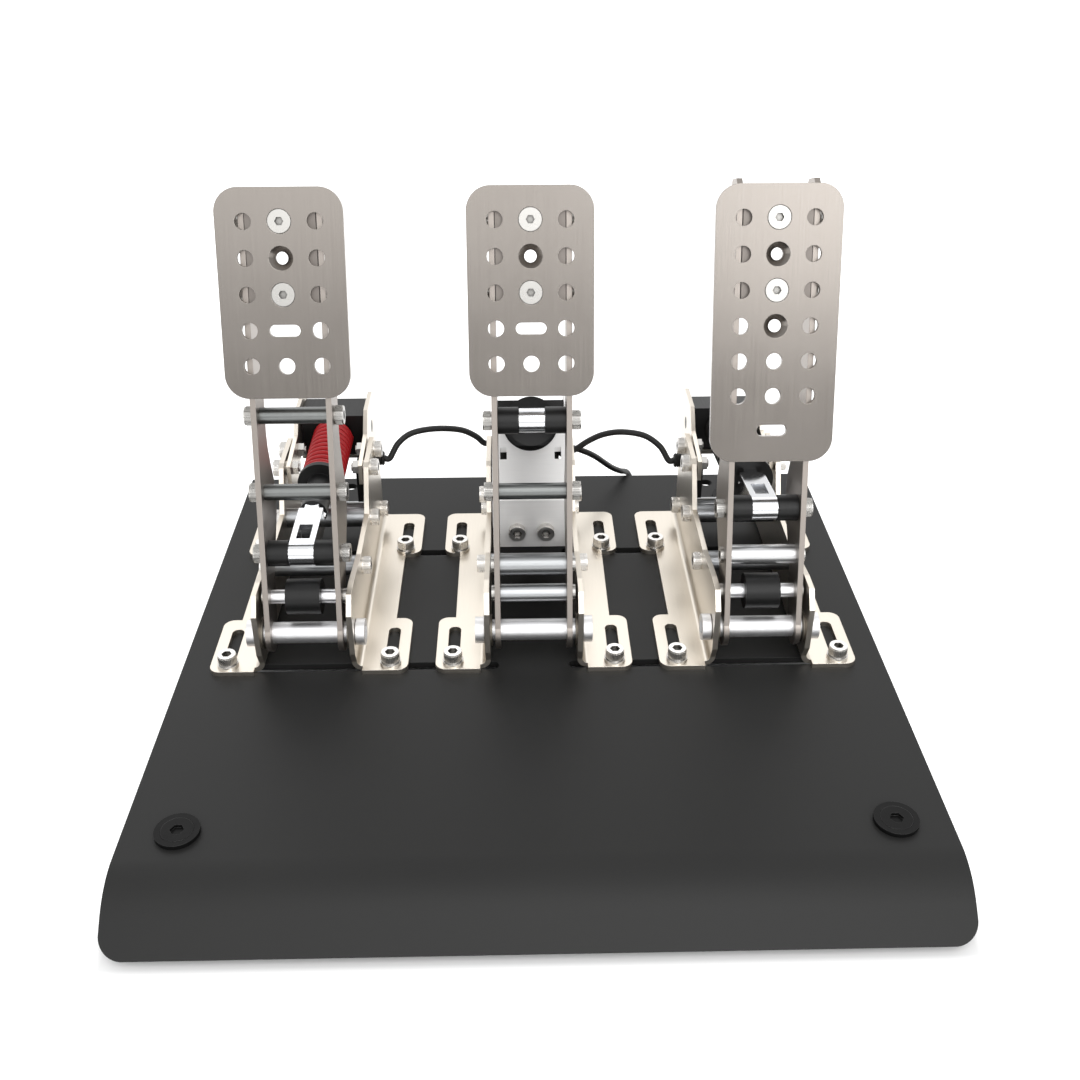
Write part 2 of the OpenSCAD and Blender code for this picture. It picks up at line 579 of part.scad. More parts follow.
module sleeves(i) color([0.06, 0.06, 0.06]) in_arm(i) {
    for (side = [-1, 1]) mirrored(side) translate([0, 0, pin_s[i]]) difference() {
        bar_x(link_w / 2 + 0.3, arm_in, sleeve_d);
        bar_x(link_w / 2 - 1, arm_in + 1, screw_d + 0.2);
    }
    if (i != BRAKE) translate([0, 0, low_s]) difference() {
        bar_x(-low_sleeve_w / 2, low_sleeve_w / 2, 20);
        bar_x(-low_sleeve_w, low_sleeve_w, low_d + 0.2);
    }
}
module bar_screw(s, d) translate([0, 0, s]) {
    tall = s > 46;
    cap_head_x(arm_out, tall ? head_d : 9, tall ? 5 : 2);
    bar_x(arm_in - 10, arm_out, d < 9 ? 4 : screw_d);
}
module face_screw(i, r) translate([0, face_back - face_t, row_s(i, r)]) difference() {
    union() {
        translate([0, 0.1, 0]) rotate([-90, 0, 0]) cylinder(h = 3, d1 = 12, d2 = 6);
        bar_y(0.1, face_t + 9, screw_d);
        translate([0, face_t + 2.7, 0]) rotate([-90, 0, 0]) cylinder(h = 5, d = 10 / cos(30), $fn = 6);
    }
    translate([0, -1, 0]) rotate([-90, 0, 0]) cylinder(h = 2.8, d = 4 / cos(30), $fn = 6);
}
module arm_screws(i) color([0.78, 0.78, 0.78]) in_arm(i) {
    for (side = [-1, 1]) mirrored(side) {
        for (n = [0 : len(bar_s[i]) - 1]) bar_screw(bar_s[i][n], bar_d[i][n]);
        if (i != BRAKE) bar_screw(low_s, low_d);
        translate([0, 0, pin_s[i]]) cap_head_x(arm_out, head_d, 5);
        for (z = tab_z) translate([0, 2, tab_mid(i) + z]) {
            cap_head_x(arm_out, 8, 3);
            bar_x(arm_in - 8, arm_out, 5);
            hex_x(arm_in - 0.3 - side_t - 4, 4, 8);
        }
    }
    translate([0, 0, pin_s[i]]) bar_x(-arm_out, arm_out, screw_d);
    for (r = [0, 2]) face_screw(i, r);
}
module face_bracket(i) color([0.6, 0.59, 0.57]) in_arm(i) difference() {
    z0 = row_s(i, 1) - 29;
    w = arm_in - 0.3;
    union() {
        translate([-w, face_back, z0]) cube([2 * w, side_t, 58]);
        for (side = [-1, 1]) mirrored(side) translate([w - side_t, face_back, z0]) cube([side_t, 19, 58]);
    }
    for (r = [0, 1, 2]) translate([0, 0, row_s(i, r)]) bar_y(face_back - 1, face_back + 4, screw_d + 0.4);
    for (z = tab_z) translate([0, 2, tab_mid(i) + z]) bar_x(-30, 30, 5.3);
}
module plain_hole(x, z) translate([x, 0, z]) bar_y(face_back - face_t - 1, face_back + 1, hole_d);
module sunk_hole(z) translate([0, face_back - face_t, z]) {
    translate([0, -0.01, 0]) rotate([-90, 0, 0]) cylinder(h = 3.02, d1 = 12.6, d2 = 6.6);
    bar_y(-1, face_t + 1, 6.6);
}
module face(i) color([0.7, 0.68, 0.65]) in_arm(i) difference() {
    last = 2 * face_rows[i];
    round_plate(face_w, face_top - face_len[i], face_top, face_r, face_back - face_t, face_t);
    for (x = [-hole_pitch, hole_pitch], r = [0 : i == THROTTLE ? last - 1 : last])
        plain_hole(x, row_s(i, r));
    for (r = i == THROTTLE ? [0 : 3] : [0 : 2]) sunk_hole(row_s(i, r));
    for (r = i == THROTTLE ? [4, 5] : [4]) plain_hole(0, row_s(i, r));
    translate([0, 0, row_s(i, i == THROTTLE ? 6 : 3)]) {
        for (x = [-5, 5]) plain_slot_end(x);
        translate([-5, face_back - face_t - 1, -3]) cube([10, face_t + 2, 6]);
    }
}
module plain_slot_end(x) translate([x, 0, 0]) bar_y(face_back - face_t - 1, face_back + 1, 6);

// linkage

module link(i) color([0.85, 0.86, 0.88]) in_rod(i) {
    difference() {
        union() {
            translate([-link_w / 2, 0, -link_h / 2]) cube([link_w, link_tail[i], link_h]);
            bar_x(-link_w / 2, link_w / 2, link_h);
        }
        translate([-3.8, link_window[i][0], -link_h])
            cube([7.6, link_window[i][1] - link_window[i][0], 2 * link_h]);
        bar_x(-link_w, link_w, screw_d + 0.1);
    }
    bar_y(link_tail[i] - 1, rod_len(i) + block_half + 16, rod_d);
    translate([0, link_tail[i], 0]) rotate([-90, 0, 0]) cylinder(h = nut_h, d = 13 / cos(30), $fn = 6);
    translate([0, rod_len(i) + block_half + 0.6, 0]) rotate([-90, 0, 0])
        cylinder(h = 6, d = 13 / cos(30), $fn = 6);
}
module seat(i) color([0.06, 0.06, 0.06]) in_rod(i) difference() {
    union() {
        translate([0, seat_tube[i], 0]) bar_y(seat_from(i), seat_from(i) + seat_h, 28);
        if (seat_tube[i] > 0) bar_y(seat_from(i), seat_from(i) + seat_tube[i] + 1, 16);
    }
    bar_y(seat_from(i) - 1, spring_from(i) + 1, rod_d + 0.2);
}
module clutch_spring() color([0.7, 0.12, 0.13]) in_rod(CLUTCH)
    coil_spring(clutch_turns, spring_from(CLUTCH), spring_to(CLUTCH));
module throttle_spring() color([0.07, 0.07, 0.07]) in_rod(THROTTLE)
    coil_spring(throttle_turns, spring_from(THROTTLE), spring_to(THROTTLE));
module brake_elastomers() color([0.07, 0.07, 0.07]) in_rod(BRAKE) for (n = [0 : 2]) {
    from = spring_from(BRAKE);
    step = (spring_to(BRAKE) - from) / 3;
    difference() {
        union() {
            bar_y(from + n * step + 0.2, from + (n + 1) * step - 0.2, elastomer_d - 3);
            bar_y(from + n * step + 2, from + (n + 1) * step - 2, elastomer_d);
        }
        bar_y(from - 1, spring_to(BRAKE) + 1, rod_d + 0.8);
    }
}
echo(clutch_spring_gap = least_gap(spring_path(clutch_turns, spring_from(CLUTCH), spring_to(CLUTCH))));
echo(throttle_spring_gap =
    least_gap(spring_path(throttle_turns, spring_from(THROTTLE), spring_to(THROTTLE))));

base_plate();
base_bolts();
rubber_feet();
clamp_screws();
axle_bushes();
cheek_bars();
cheek_screws();
load_cell();
position_sensors();
control_box();
usb_socket();
lead_glands();
clutch_lead();
throttle_lead();
usb_lead();
cheek(CLUTCH, -1);  // clutch_cheek_l
cheek(CLUTCH, 1);  // clutch_cheek_r
rear_bracket(CLUTCH);  // clutch_bracket
rear_block(CLUTCH);  // clutch_block
arm(CLUTCH, -1);  // clutch_arm_l
arm(CLUTCH, 1);  // clutch_arm_r
axle(CLUTCH);  // clutch_axle
arm_bars(CLUTCH);  // clutch_bars
sleeves(CLUTCH);  // clutch_sleeves
arm_screws(CLUTCH);  // clutch_screws
face_bracket(CLUTCH);  // clutch_face_bracket
face(CLUTCH);  // clutch_face
link(CLUTCH);  // clutch_link
seat(CLUTCH);  // clutch_seat
clutch_spring();
cheek(BRAKE, -1);  // brake_cheek_l
cheek(BRAKE, 1);  // brake_cheek_r
brake_bracket();
rear_block(BRAKE);  // brake_block
arm(BRAKE, -1);  // brake_arm_l
arm(BRAKE, 1);  // brake_arm_r
axle(BRAKE);  // brake_axle
arm_bars(BRAKE);  // brake_bars
sleeves(BRAKE);  // brake_sleeves
arm_screws(BRAKE);  // brake_screws
face_bracket(BRAKE);  // brake_face_bracket
face(BRAKE);  // brake_face
link(BRAKE);  // brake_link
seat(BRAKE);  // brake_seat
brake_elastomers();
cheek(THROTTLE, -1);  // throttle_cheek_l
cheek(THROTTLE, 1);  // throttle_cheek_r
rear_bracket(THROTTLE);  // throttle_bracket
rear_block(THROTTLE);  // throttle_block
arm(THROTTLE, -1);  // throttle_arm_l
arm(THROTTLE, 1);  // throttle_arm_r
axle(THROTTLE);  // throttle_axle
arm_bars(THROTTLE);  // throttle_bars
sleeves(THROTTLE);  // throttle_sleeves
arm_screws(THROTTLE);  // throttle_screws
face_bracket(THROTTLE);  // throttle_face_bracket
face(THROTTLE);  // throttle_face
link(THROTTLE);  // throttle_link
seat(THROTTLE);  // throttle_seat
throttle_spring();
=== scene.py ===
# Sim racing pedal set: the looks of three pedals on one bent base plate, in metres.
# X is right, Y is away from the driver, Z is up, and the origin is on the floor under the plate.
import json
import math

import bpy
from mathutils import Matrix, Vector


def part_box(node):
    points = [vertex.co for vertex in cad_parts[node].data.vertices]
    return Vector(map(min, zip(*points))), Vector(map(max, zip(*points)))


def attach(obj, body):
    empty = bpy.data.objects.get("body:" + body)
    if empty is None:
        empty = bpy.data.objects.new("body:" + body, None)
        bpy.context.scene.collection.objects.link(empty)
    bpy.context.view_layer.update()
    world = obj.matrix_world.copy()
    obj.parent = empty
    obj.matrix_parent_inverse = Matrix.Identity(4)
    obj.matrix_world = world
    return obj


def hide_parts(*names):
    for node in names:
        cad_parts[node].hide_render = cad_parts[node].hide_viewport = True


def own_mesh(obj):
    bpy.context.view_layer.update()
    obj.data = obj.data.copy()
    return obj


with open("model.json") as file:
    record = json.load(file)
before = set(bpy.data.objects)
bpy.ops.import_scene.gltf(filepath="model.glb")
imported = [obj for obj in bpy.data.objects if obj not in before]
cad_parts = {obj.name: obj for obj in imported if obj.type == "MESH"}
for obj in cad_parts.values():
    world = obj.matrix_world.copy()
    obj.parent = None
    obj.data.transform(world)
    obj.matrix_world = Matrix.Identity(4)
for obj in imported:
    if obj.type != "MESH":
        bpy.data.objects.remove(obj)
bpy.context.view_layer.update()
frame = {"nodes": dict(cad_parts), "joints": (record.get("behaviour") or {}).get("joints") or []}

# The studio: a white floor and sky, four softboxes, and a camera where a person stands over the pedals.
# Rays from the camera, from a mirror or through glass get extra light from the floor round the plate
# and from the sky, so that both look white, while the object's shadow stays on the floor.


class Value:
    """A socket of a node tree. Arithmetic on it adds Math nodes to the tree."""

    def __init__(self, graph, socket):
        self.graph = graph
        self.socket = socket

    def math(self, operation, *others):
        sockets = dict(enumerate((self, *others)))
        return self.graph.node("ShaderNodeMath", {"operation": operation}, sockets)

    def reflected(self, operation, other):
        return self.graph.node("ShaderNodeMath", {"operation": operation}, {0: other, 1: self})

    def __add__(self, other):
        return self.math("ADD", other)

    def __sub__(self, other):
        return self.math("SUBTRACT", other)

    def __mul__(self, other):
        return self.math("MULTIPLY", other)

    def __truediv__(self, other):
        return self.math("DIVIDE", other)

    def __radd__(self, other):
        return self.reflected("ADD", other)

    def __rsub__(self, other):
        return self.reflected("SUBTRACT", other)

    def __rmul__(self, other):
        return self.reflected("MULTIPLY", other)

    def clamped(self):
        return self.math("MAXIMUM", 0.0).math("MINIMUM", 1.0)


class Graph:
    """A node tree written as expressions: node() adds a node and gives back one of its outputs."""

    def __init__(self, tree):
        self.tree = tree

    def node(self, kind, settings=None, sockets=None, out=0):
        made = self.tree.nodes.new(kind)
        for name, value in (settings or {}).items():
            setattr(made, name, value)
        for name, value in (sockets or {}).items():
            self.put(self.find(made.inputs, name), value)
        return Value(self, self.find(made.outputs, out))

    def find(self, sockets, name):
        """A socket by its number or its name, among those that the node's settings leave open."""
        usable = [socket for socket in sockets if socket.enabled]
        if isinstance(name, int):
            return usable[name]
        return next(socket for socket in usable if socket.name == name)

    def put(self, socket, value):
        if isinstance(value, Value):
            self.tree.links.new(value.socket, socket)
        else:
            socket.default_value = value

    def mix(self, share, first, second):
        """The first colour where share is 0, and the second where it is 1."""
        sockets = {"Factor": share, "A": first, "B": second}
        return self.node("ShaderNodeMix", {"data_type": "RGBA"}, sockets)

    def axes(self, place):
        """The X, Y and Z of a vector."""
        parts = self.node("ShaderNodeSeparateXYZ", None, {0: place}).socket.node.outputs
        return [Value(self, part) for part in parts]


def seen_directly(graph):
    """1 for rays from the camera, from a mirror or through glass, and 0 for light on the object."""
    path = graph.node("ShaderNodeLightPath")
    rays = [Value(graph, path.socket.node.outputs[name])
            for name in ("Is Camera Ray", "Is Glossy Ray", "Is Transmission Ray")]
    return (rays[0] + rays[1] + rays[2]).clamped()


WHITE = (1.0, 1.0, 1.0, 1.0)
FLOOR_HALF = 3.0
FLOOR_WHITE = (0.86, 0.86, 0.86, 1.0)
FLOOR_DULL = 0.9
FLOOR_GLOW = 0.5
FAR_GLOW = 0.6
FAR_AWAY = 1.6
GLOW_EDGE = 0.01
floor_mesh = bpy.data.meshes.new("floor")
floor_corners = [(x * FLOOR_HALF, y * FLOOR_HALF, 0.0) for x, y in ((-1, -1), (1, -1), (1, 1), (-1, 1))]
floor_mesh.from_pydata(floor_corners, [], [(0, 1, 2, 3)])
floor = bpy.data.objects.new("floor", floor_mesh)
bpy.context.scene.collection.objects.link(floor)
floor_paint = bpy.data.materials.new("floor_white")
floor_paint.use_nodes = True
floor_graph = Graph(floor_paint.node_tree)
floor_shader = floor_paint.node_tree.nodes["Principled BSDF"]
floor_graph.put(floor_shader.inputs["Base Color"], FLOOR_WHITE)
floor_graph.put(floor_shader.inputs["Roughness"], FLOOR_DULL)
floor_graph.put(floor_shader.inputs["Emission Color"], WHITE)
floor_x, floor_y, _ = floor_graph.axes(floor_graph.node("ShaderNodeTexCoord", out="Object"))
plate_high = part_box("base_plate")[1]
beside = floor_x.math("ABSOLUTE") - plate_high.x
before = floor_y.math("ABSOLUTE") - plate_high.y
outside = beside.math("MAXIMUM", before)
floor_glow = (outside / GLOW_EDGE).clamped() * FLOOR_GLOW + (outside / FAR_AWAY).clamped() * FAR_GLOW
floor_graph.put(floor_shader.inputs["Emission Strength"], seen_directly(floor_graph) * floor_glow)
floor_mesh.materials.append(floor_paint)

# the sky lights the object less from low down in front than from above, from behind and from the sides
SKY_DIM = 0.12
SKY_FULL = 0.98
SKY_HORIZON = -0.5
SKY_UP = 4.0
SKY_BACK = 0.5
SKY_SIDE = 0.35
sky = bpy.data.worlds.new("studio")
sky.use_nodes = True
bpy.context.scene.world = sky
sky_graph = Graph(sky.node_tree)
sky_x, sky_y, sky_z = sky_graph.axes(sky_graph.node("ShaderNodeTexCoord", out="Generated"))
sky_side = sky_x.math("ABSOLUTE") * SKY_SIDE
sky_back = (sky_y + 1) * SKY_BACK
sky_level = sky_z * SKY_UP + sky_back + sky_side + SKY_HORIZON
sky_level = sky_level.math("MAXIMUM", SKY_DIM).math("MINIMUM", SKY_FULL)
sky_seen = seen_directly(sky_graph)
sky_shader = sky.node_tree.nodes["Background"]
sky_graph.put(sky_shader.inputs["Color"], WHITE)
sky_graph.put(sky_shader.inputs["Strength"], sky_level * (1 - sky_seen) + sky_seen)

SOFTBOXES = (
    # name, place, looks at, width, height, watts
    ("high_softbox", (0.15, -1.2, 1.9), (0.0, 0.0, 0.1), 1.4, 1.0, 11.0),
    ("front_softbox", (0.85, -1.9, 1.20), (0.05, 0.0, 0.15), 1.1, 0.9, 11.5),
    ("low_softbox", (-0.35, -2.0, 1.15), (-0.05, 0.0, 0.2), 1.3, 0.6, 4.5),
    ("back_softbox", (-0.2, 1.9, 1.7), (0.0, 0.0, 0.1), 2.6, 0.9, 8.0),
)
for name, place, target, width, height, watts in SOFTBOXES:
    lamp = bpy.data.lights.new(name, "AREA")
    lamp.shape = "RECTANGLE"
    lamp.size = width
    lamp.size_y = height
    lamp.energy = watts
    holder = bpy.data.objects.new(name, lamp)
    holder.location = place
    holder.rotation_euler = (Vector(target) - Vector(place)).to_track_quat("-Z", "Y").to_euler()
    bpy.context.scene.collection.objects.link(holder)

CAMERA_PLACE = Vector((-0.0079, -0.5631, 0.4511))
PITCH_DOWN = math.radians(31.95)
YAW_RIGHT = math.radians(1.20)
ROLL = math.radians(-0.08)
SENSOR_MM = 36.0
LENS_MM = 40.0
forward = Vector((math.sin(YAW_RIGHT) * math.cos(PITCH_DOWN), math.cos(YAW_RIGHT) * math.cos(PITCH_DOWN),
                  -math.sin(PITCH_DOWN)))
level_right = Vector((math.cos(YAW_RIGHT), -math.sin(YAW_RIGHT), 0.0))
level_up = level_right.cross(forward)
camera_right = math.cos(ROLL) * level_right + math.sin(ROLL) * level_up
camera_up = math.cos(ROLL) * level_up - math.sin(ROLL) * level_right
camera_data = bpy.data.cameras.new("camera")
camera_data.sensor_width = SENSOR_MM
camera_data.lens = LENS_MM
camera = bpy.data.objects.new("camera", camera_data)
camera_turn = Matrix((camera_right, camera_up, -forward)).transposed().to_4x4()
camera.matrix_world = Matrix.Translation(CAMERA_PLACE) @ camera_turn
bpy.context.scene.collection.objects.link(camera)
bpy.context.scene.camera = camera
bpy.context.scene.view_settings.view_transform = "Standard"

# The base plate is one 4 mm steel sheet with a rolled front lip, cut with long adjusting slots.
# It has a fine matt powder coat, a little orange peel, and edges rubbed lighter by shoes.


class Finish(Graph):
    """A material: a Principled shader, with the nodes that feed it."""

    SAMPLES = 4

    def __init__(self, name, **constants):
        self.material = bpy.data.materials.new(name)
        self.material.use_nodes = True
        super().__init__(self.material.node_tree)
        self.shader = self.tree.nodes["Principled BSDF"]
        for socket, value in constants.items():
            self.set(socket.replace("_", " "), value)

    def set(self, socket, value):
        self.put(self.shader.inputs[socket], value)

    def place(self, turn=(0.0, 0.0, 0.0), stretch=(1.0, 1.0, 1.0)):
        """Object coordinates, turned and then stretched."""
        here = self.node("ShaderNodeTexCoord", out="Object")
        sockets = {"Vector": here, "Rotation": turn}
        turned = self.node("ShaderNodeMapping", {"vector_type": "POINT"}, sockets)
        return self.node("ShaderNodeVectorMath", {"operation": "MULTIPLY"}, {0: turned, 1: stretch})

    def noise(self, at, scale=1.0, detail=2.0, roughness=0.5):
        sockets = {"Vector": at, "Scale": scale, "Detail": detail, "Roughness": roughness}
        return self.node("ShaderNodeTexNoise", None, sockets)

    def rounded(self, radius):
        """Normals as if every edge had this radius."""
        return self.node("ShaderNodeBevel", {"samples": self.SAMPLES}, {"Radius": radius})

    def edges(self, rounded, gain):
        """A mask that is 1 along the edges and 0 on the flats."""
        sockets = {0: rounded, 1: self.node("ShaderNodeNewGeometry", out="Normal")}
        same = self.node("ShaderNodeVectorMath", {"operation": "DOT_PRODUCT"}, sockets, out="Value")
        return ((1 - same) * gain).clamped()

    def bump(self, height, strength, distance, under=None):
        sockets = {"Height": height, "Strength": strength, "Distance": distance}
        if under is not None:
            sockets["Normal"] = under
        self.set("Normal", self.node("ShaderNodeBump", None, sockets))

    def painted_hollow_shade(self, reach):
        """A mask for painted shade: 1 deep in the sockets and corners of a piece, where little sky reaches,
        and 0 on its open faces.
        """
        settings = {"samples": self.SAMPLES, "only_local": True}
        return 1 - self.node("ShaderNodeAmbientOcclusion", settings, {"Distance": reach}, out="AO")

    def over(self, mask, colour):
        """Lays a colour over the base colour where the mask is 1."""
        under = Value(self, self.shader.inputs["Base Color"].links[0].from_socket)
        self.set("Base Color", self.mix(mask, under, colour))


def dress(finish, *nodes):
    """Gives CAD nodes this finish."""
    for node in nodes:
        slots = frame["nodes"][node].data.materials
        slots.clear()
        slots.append(finish.material)


def grey(level):
    return (level, level, level, 1.0)


POWDER_LOW = grey(0.011)
POWDER_HIGH = (0.016, 0.016, 0.0155, 1.0)
POWDER_RUBBED = grey(0.07)
RUB_SHARE = 0.4
POWDER_DULL = 0.44
POWDER_CLOUD_DULL = 0.08
PEEL_DULL = 0.06
powder = Finish("powder_coat", Metallic=0.0, Specular_IOR_Level=0.28)
powder_place = powder.place()
powder_peel = powder.noise(powder_place, scale=1500.0, detail=3.0)
powder_cloud = powder.noise(powder_place, scale=9.0, detail=3.0, roughness=0.6)
powder_edge = powder.rounded(radius=0.0006)
powder_rub = powder.edges(powder_edge, gain=6.0) * powder.noise(powder_place, scale=220.0)
powder_shade = powder.mix(powder_cloud, POWDER_LOW, POWDER_HIGH)
powder.set("Base Color", powder.mix(powder_rub * RUB_SHARE, powder_shade, POWDER_RUBBED))
powder.set("Roughness", POWDER_DULL + powder_cloud * POWDER_CLOUD_DULL + powder_peel * PEEL_DULL)
powder.bump(powder_peel, strength=0.10, distance=0.0003, under=powder_edge)
dress(powder, "base_plate")

# Four countersunk bolts in cup washers hold a rubber foot under each corner of the plate.
# The bolts and washers are black oxide steel with a slight sheen; the feet are plain moulded rubber.
EVEN = (1.0, 1.0, 1.0)


def with_bright_edges(name, shades, metallic, sheen, dull, vary, relief, rounding, gain, scale=1.0,
                      stretch=EVEN):
    """A dark finish with faint tool marks and lighter edges."""
    finish = Finish(name, Metallic=metallic, Specular_IOR_Level=sheen)
    marks = finish.noise(finish.place(stretch=stretch), scale, detail=3.0)
    edge = finish.rounded(rounding)
    finish.set("Base Color", finish.mix(finish.edges(edge, gain), *map(grey, shades)))
    finish.set("Roughness", dull + marks * vary)
    finish.bump(marks, relief, distance=0.0002, under=edge)
    return finish


def moulding(name, shades, sheen, scale, dull, vary, relief, rounding, detail=2.0, roughness=0.5):
    """Rubber or plastic with a fine grain in its colour, its gloss and its surface."""
    finish = Finish(name, Metallic=0.0, Specular_IOR_Level=sheen)
    grain = finish.noise(finish.place(), scale, detail, roughness)
    finish.set("Base Color", finish.mix(grain, *map(grey, shades)))
    finish.set("Roughness", dull + grain * vary)
    finish.bump(grain, relief, distance=0.0003, under=finish.rounded(rounding))
    return finish


oxide = with_bright_edges("black_oxide", shades=(0.010, 0.06), metallic=0.6, sheen=0.25, dull=0.38,
                          vary=0.15, relief=0.06, rounding=0.0003, gain=5.0, scale=160.0)
dress(oxide, "base_bolts")
rubber = moulding("black_rubber", shades=(0.010, 0.020), sheen=0.3, scale=900.0, dull=0.62, vary=0.2,
                  relief=0.12, rounding=0.0005, detail=4.0, roughness=0.7)
dress(rubber, "rubber_feet")

# The cheeks are laser cut and bent from 3 mm steel sheet, with slotted feet, and plated in satin nickel.
# The plating is bright and a little warm, with fine rolling grain and softened cut edges.
PEDALS = ("clutch", "brake", "throttle")
DARK_GRAIN = 0.86
BRIGHT_EDGE = 1.15
GRAIN_SHARE = 0.6
CLOUD_SHARE = 0.4
GRAIN_DULL = 0.10
CLOUD_DULL = 0.06


def tinted(colour, gain):
    """A colour made darker or brighter."""
    return tuple(min(1.0, c * gain) for c in colour[:3]) + (1.0,)


def plated(name, colour, dull, grain, turn=(0.0, 0.0, 0.0), rounding=0.0004, relief=0.05):
    """Metal with a grain, which is given by its fineness along X, Y and Z after a turn."""
    metal = Finish(name, Metallic=1.0)
    streaks = metal.noise(metal.place(turn, grain), detail=4.0, roughness=0.6)
    cloud = metal.noise(metal.place(), scale=26.0, detail=3.0)
    edge = metal.rounded(rounding)
    tone = (streaks * GRAIN_SHARE + cloud * CLOUD_SHARE).clamped()
    shade = metal.mix(tone, tinted(colour, DARK_GRAIN), colour)
    metal.set("Base Color", metal.mix(metal.edges(edge, gain=4.0), shade, tinted(colour, BRIGHT_EDGE)))
    metal.set("Roughness", dull + streaks * GRAIN_DULL + cloud * CLOUD_DULL)
    metal.bump(streaks, relief, distance=0.0002, under=edge)
    return metal


NICKEL = (0.74, 0.685, 0.605, 1.0)
ROLLING_GRAIN = (900.0, 60.0, 900.0)
nickel = plated("satin_nickel", NICKEL, dull=0.24, grain=ROLLING_GRAIN, relief=0.03)
for pedal in PEDALS:
    dress(nickel, f"{pedal}_cheek_l", f"{pedal}_cheek_r")

# Screws, nuts and washers are zinc plated steel, bright on the frame and duller on the arms.
# The tall cap heads are turned, with a hex socket and a rim knurled for the fingers; low heads are plain.


class Recipe(Graph):
    """A geometry tree with named sizes. make() turns its result into a plain mesh."""

    SOCKETS = {int: "NodeSocketInt", float: "NodeSocketFloat"}

    def __init__(self, name, **sizes):
        tree = bpy.data.node_groups.new(name, "GeometryNodeTree")
        tree.interface.new_socket("Points", in_out="INPUT", socket_type="NodeSocketGeometry")
        tree.interface.new_socket("Made", in_out="OUTPUT", socket_type="NodeSocketGeometry")
        self.identifiers = {}
        for label, value in sizes.items():
            kind = self.SOCKETS[type(value)]
            socket = tree.interface.new_socket(label, in_out="INPUT", socket_type=kind)
            socket.default_value = value
            self.identifiers[label] = socket.identifier
        super().__init__(tree)
        self.given = tree.nodes.new("NodeGroupInput")
        self.result = tree.nodes.new("NodeGroupOutput")

    def size(self, label):
        return Value(self, self.given.outputs[label])

    def end(self, geometry, finish):
        whole = self.node("GeometryNodeRealizeInstances", None, {"Geometry": geometry})
        sockets = {"Geometry": whole, "Material": finish.material}
        self.put(self.result.inputs["Made"], self.node("GeometryNodeSetMaterial", None, sockets))

    def make(self, name, points=(), **sizes):
        """points is a list of (place, turn, stretch), each three numbers."""
        mesh = bpy.data.meshes.new(name)
        mesh.from_pydata([place for place, _, _ in points], [], [])
        for label, index in (("turn", 1), ("stretch", 2)):
            attribute = mesh.attributes.new(label, "FLOAT_VECTOR", "POINT")
            numbers = [number for point in points for number in point[index]]
            attribute.data.foreach_set("vector", numbers)
        piece = bpy.data.objects.new(name, mesh)
        bpy.context.scene.collection.objects.link(piece)
        modifier = piece.modifiers.new(name, "NODES")
        modifier.node_group = self.tree
        for label, value in sizes.items():
            modifier[self.identifiers[label]] = value
        evaluated = piece.evaluated_get(bpy.context.evaluated_depsgraph_get())
        made = bpy.data.meshes.new_from_object(evaluated)
        piece.modifiers.clear()
        piece.data = made
        return piece

    def on_points(self, instance):
        """A copy of the instance on each of the given points, turned and stretched as the point says."""
        named = {}
        for label in ("turn", "stretch"):
            settings = {"data_type": "FLOAT_VECTOR"}
            named[label] = self.node("GeometryNodeInputNamedAttribute", settings, {"Name": label})
        turned = self.node("FunctionNodeEulerToRotation", None, {0: named["turn"]})
        return self.node("GeometryNodeInstanceOnPoints", None, {
            "Points": self.size("Points"), "Instance": instance, "Rotation": turned,
            "Scale": named["stretch"]})


WELD_DIGITS = 6


def solid_boxes(node):
    """The lowest and highest corner of each separate solid in a CAD node."""
    mesh = frame["nodes"][node].data
    known = {}
    welded = [tuple(round(c, WELD_DIGITS) for c in vertex.co) for vertex in mesh.vertices]
    corner_of = [known.setdefault(place, len(known)) for place in welded]
    leader = list(range(len(known)))

    def find(corner):
        while leader[corner] != corner:
            leader[corner] = leader[leader[corner]]
            corner = leader[corner]
        return corner

    for face in mesh.polygons:
        first = find(corner_of[face.vertices[0]])
        for other in face.vertices[1:]:
            leader[find(corner_of[other])] = first
    groups = {}
    for place, corner in known.items():
        groups.setdefault(find(corner), []).append(place)
    return [(Vector(map(min, zip(*places))), Vector(map(max, zip(*places)))) for places in groups.values()]


# the screws' sockets and corners are darkened as painted shade, deeper where less of the sky reaches them
SOCKET_REACH = 0.004
SOCKET_GAIN = 1.4
SOCKET_LOSS = 0.1
SOCKET_SHADE_PAINT = (0.05, 0.048, 0.045, 1.0)
ZINC_GRAIN = (90.0, 90.0, 90.0)
BRIGHT_ZINC = (0.80, 0.78, 0.75, 1.0)
DULL_ZINC = (0.45, 0.44, 0.42, 1.0)


def screw_plating(name, colour):
    """Zinc plating, with shade painted into its sockets and corners."""
    plating = plated(name, colour, dull=0.2, grain=ZINC_GRAIN, rounding=0.0003)
    plating.over((plating.painted_hollow_shade(SOCKET_REACH) * SOCKET_GAIN - SOCKET_LOSS).clamped(), SOCKET_SHADE_PAINT)
    return plating


zinc = screw_plating("bright_zinc", BRIGHT_ZINC)
dress(zinc, "clamp_screws", "cheek_screws")
arm_zinc = screw_plating("dull_zinc", DULL_ZINC)
dress(arm_zinc, *[f"{pedal}_screws" for pedal in PEDALS])
HEAD_R = 0.005
HEAD_SLACK = 0.0004
CLAMP_HEAD = 0.006
SIDE_HEAD = 0.005
RIDGES = 34
RIDGE_R = 0.00030
RIDGE_SIDES = 6
knurl = Recipe("knurled_rim", Ridges=RIDGES, Rim=HEAD_R, Ridge=RIDGE_R, Height=1.0)
rim = knurl.node("GeometryNodeMeshCircle", None, {
    "Vertices": knurl.size("Ridges"), "Radius": knurl.size("Rim")})
ridge = knurl.node("GeometryNodeMeshCylinder", None, {
    "Vertices": RIDGE_SIDES, "Radius": knurl.size("Ridge"), "Depth": knurl.size("Height")})
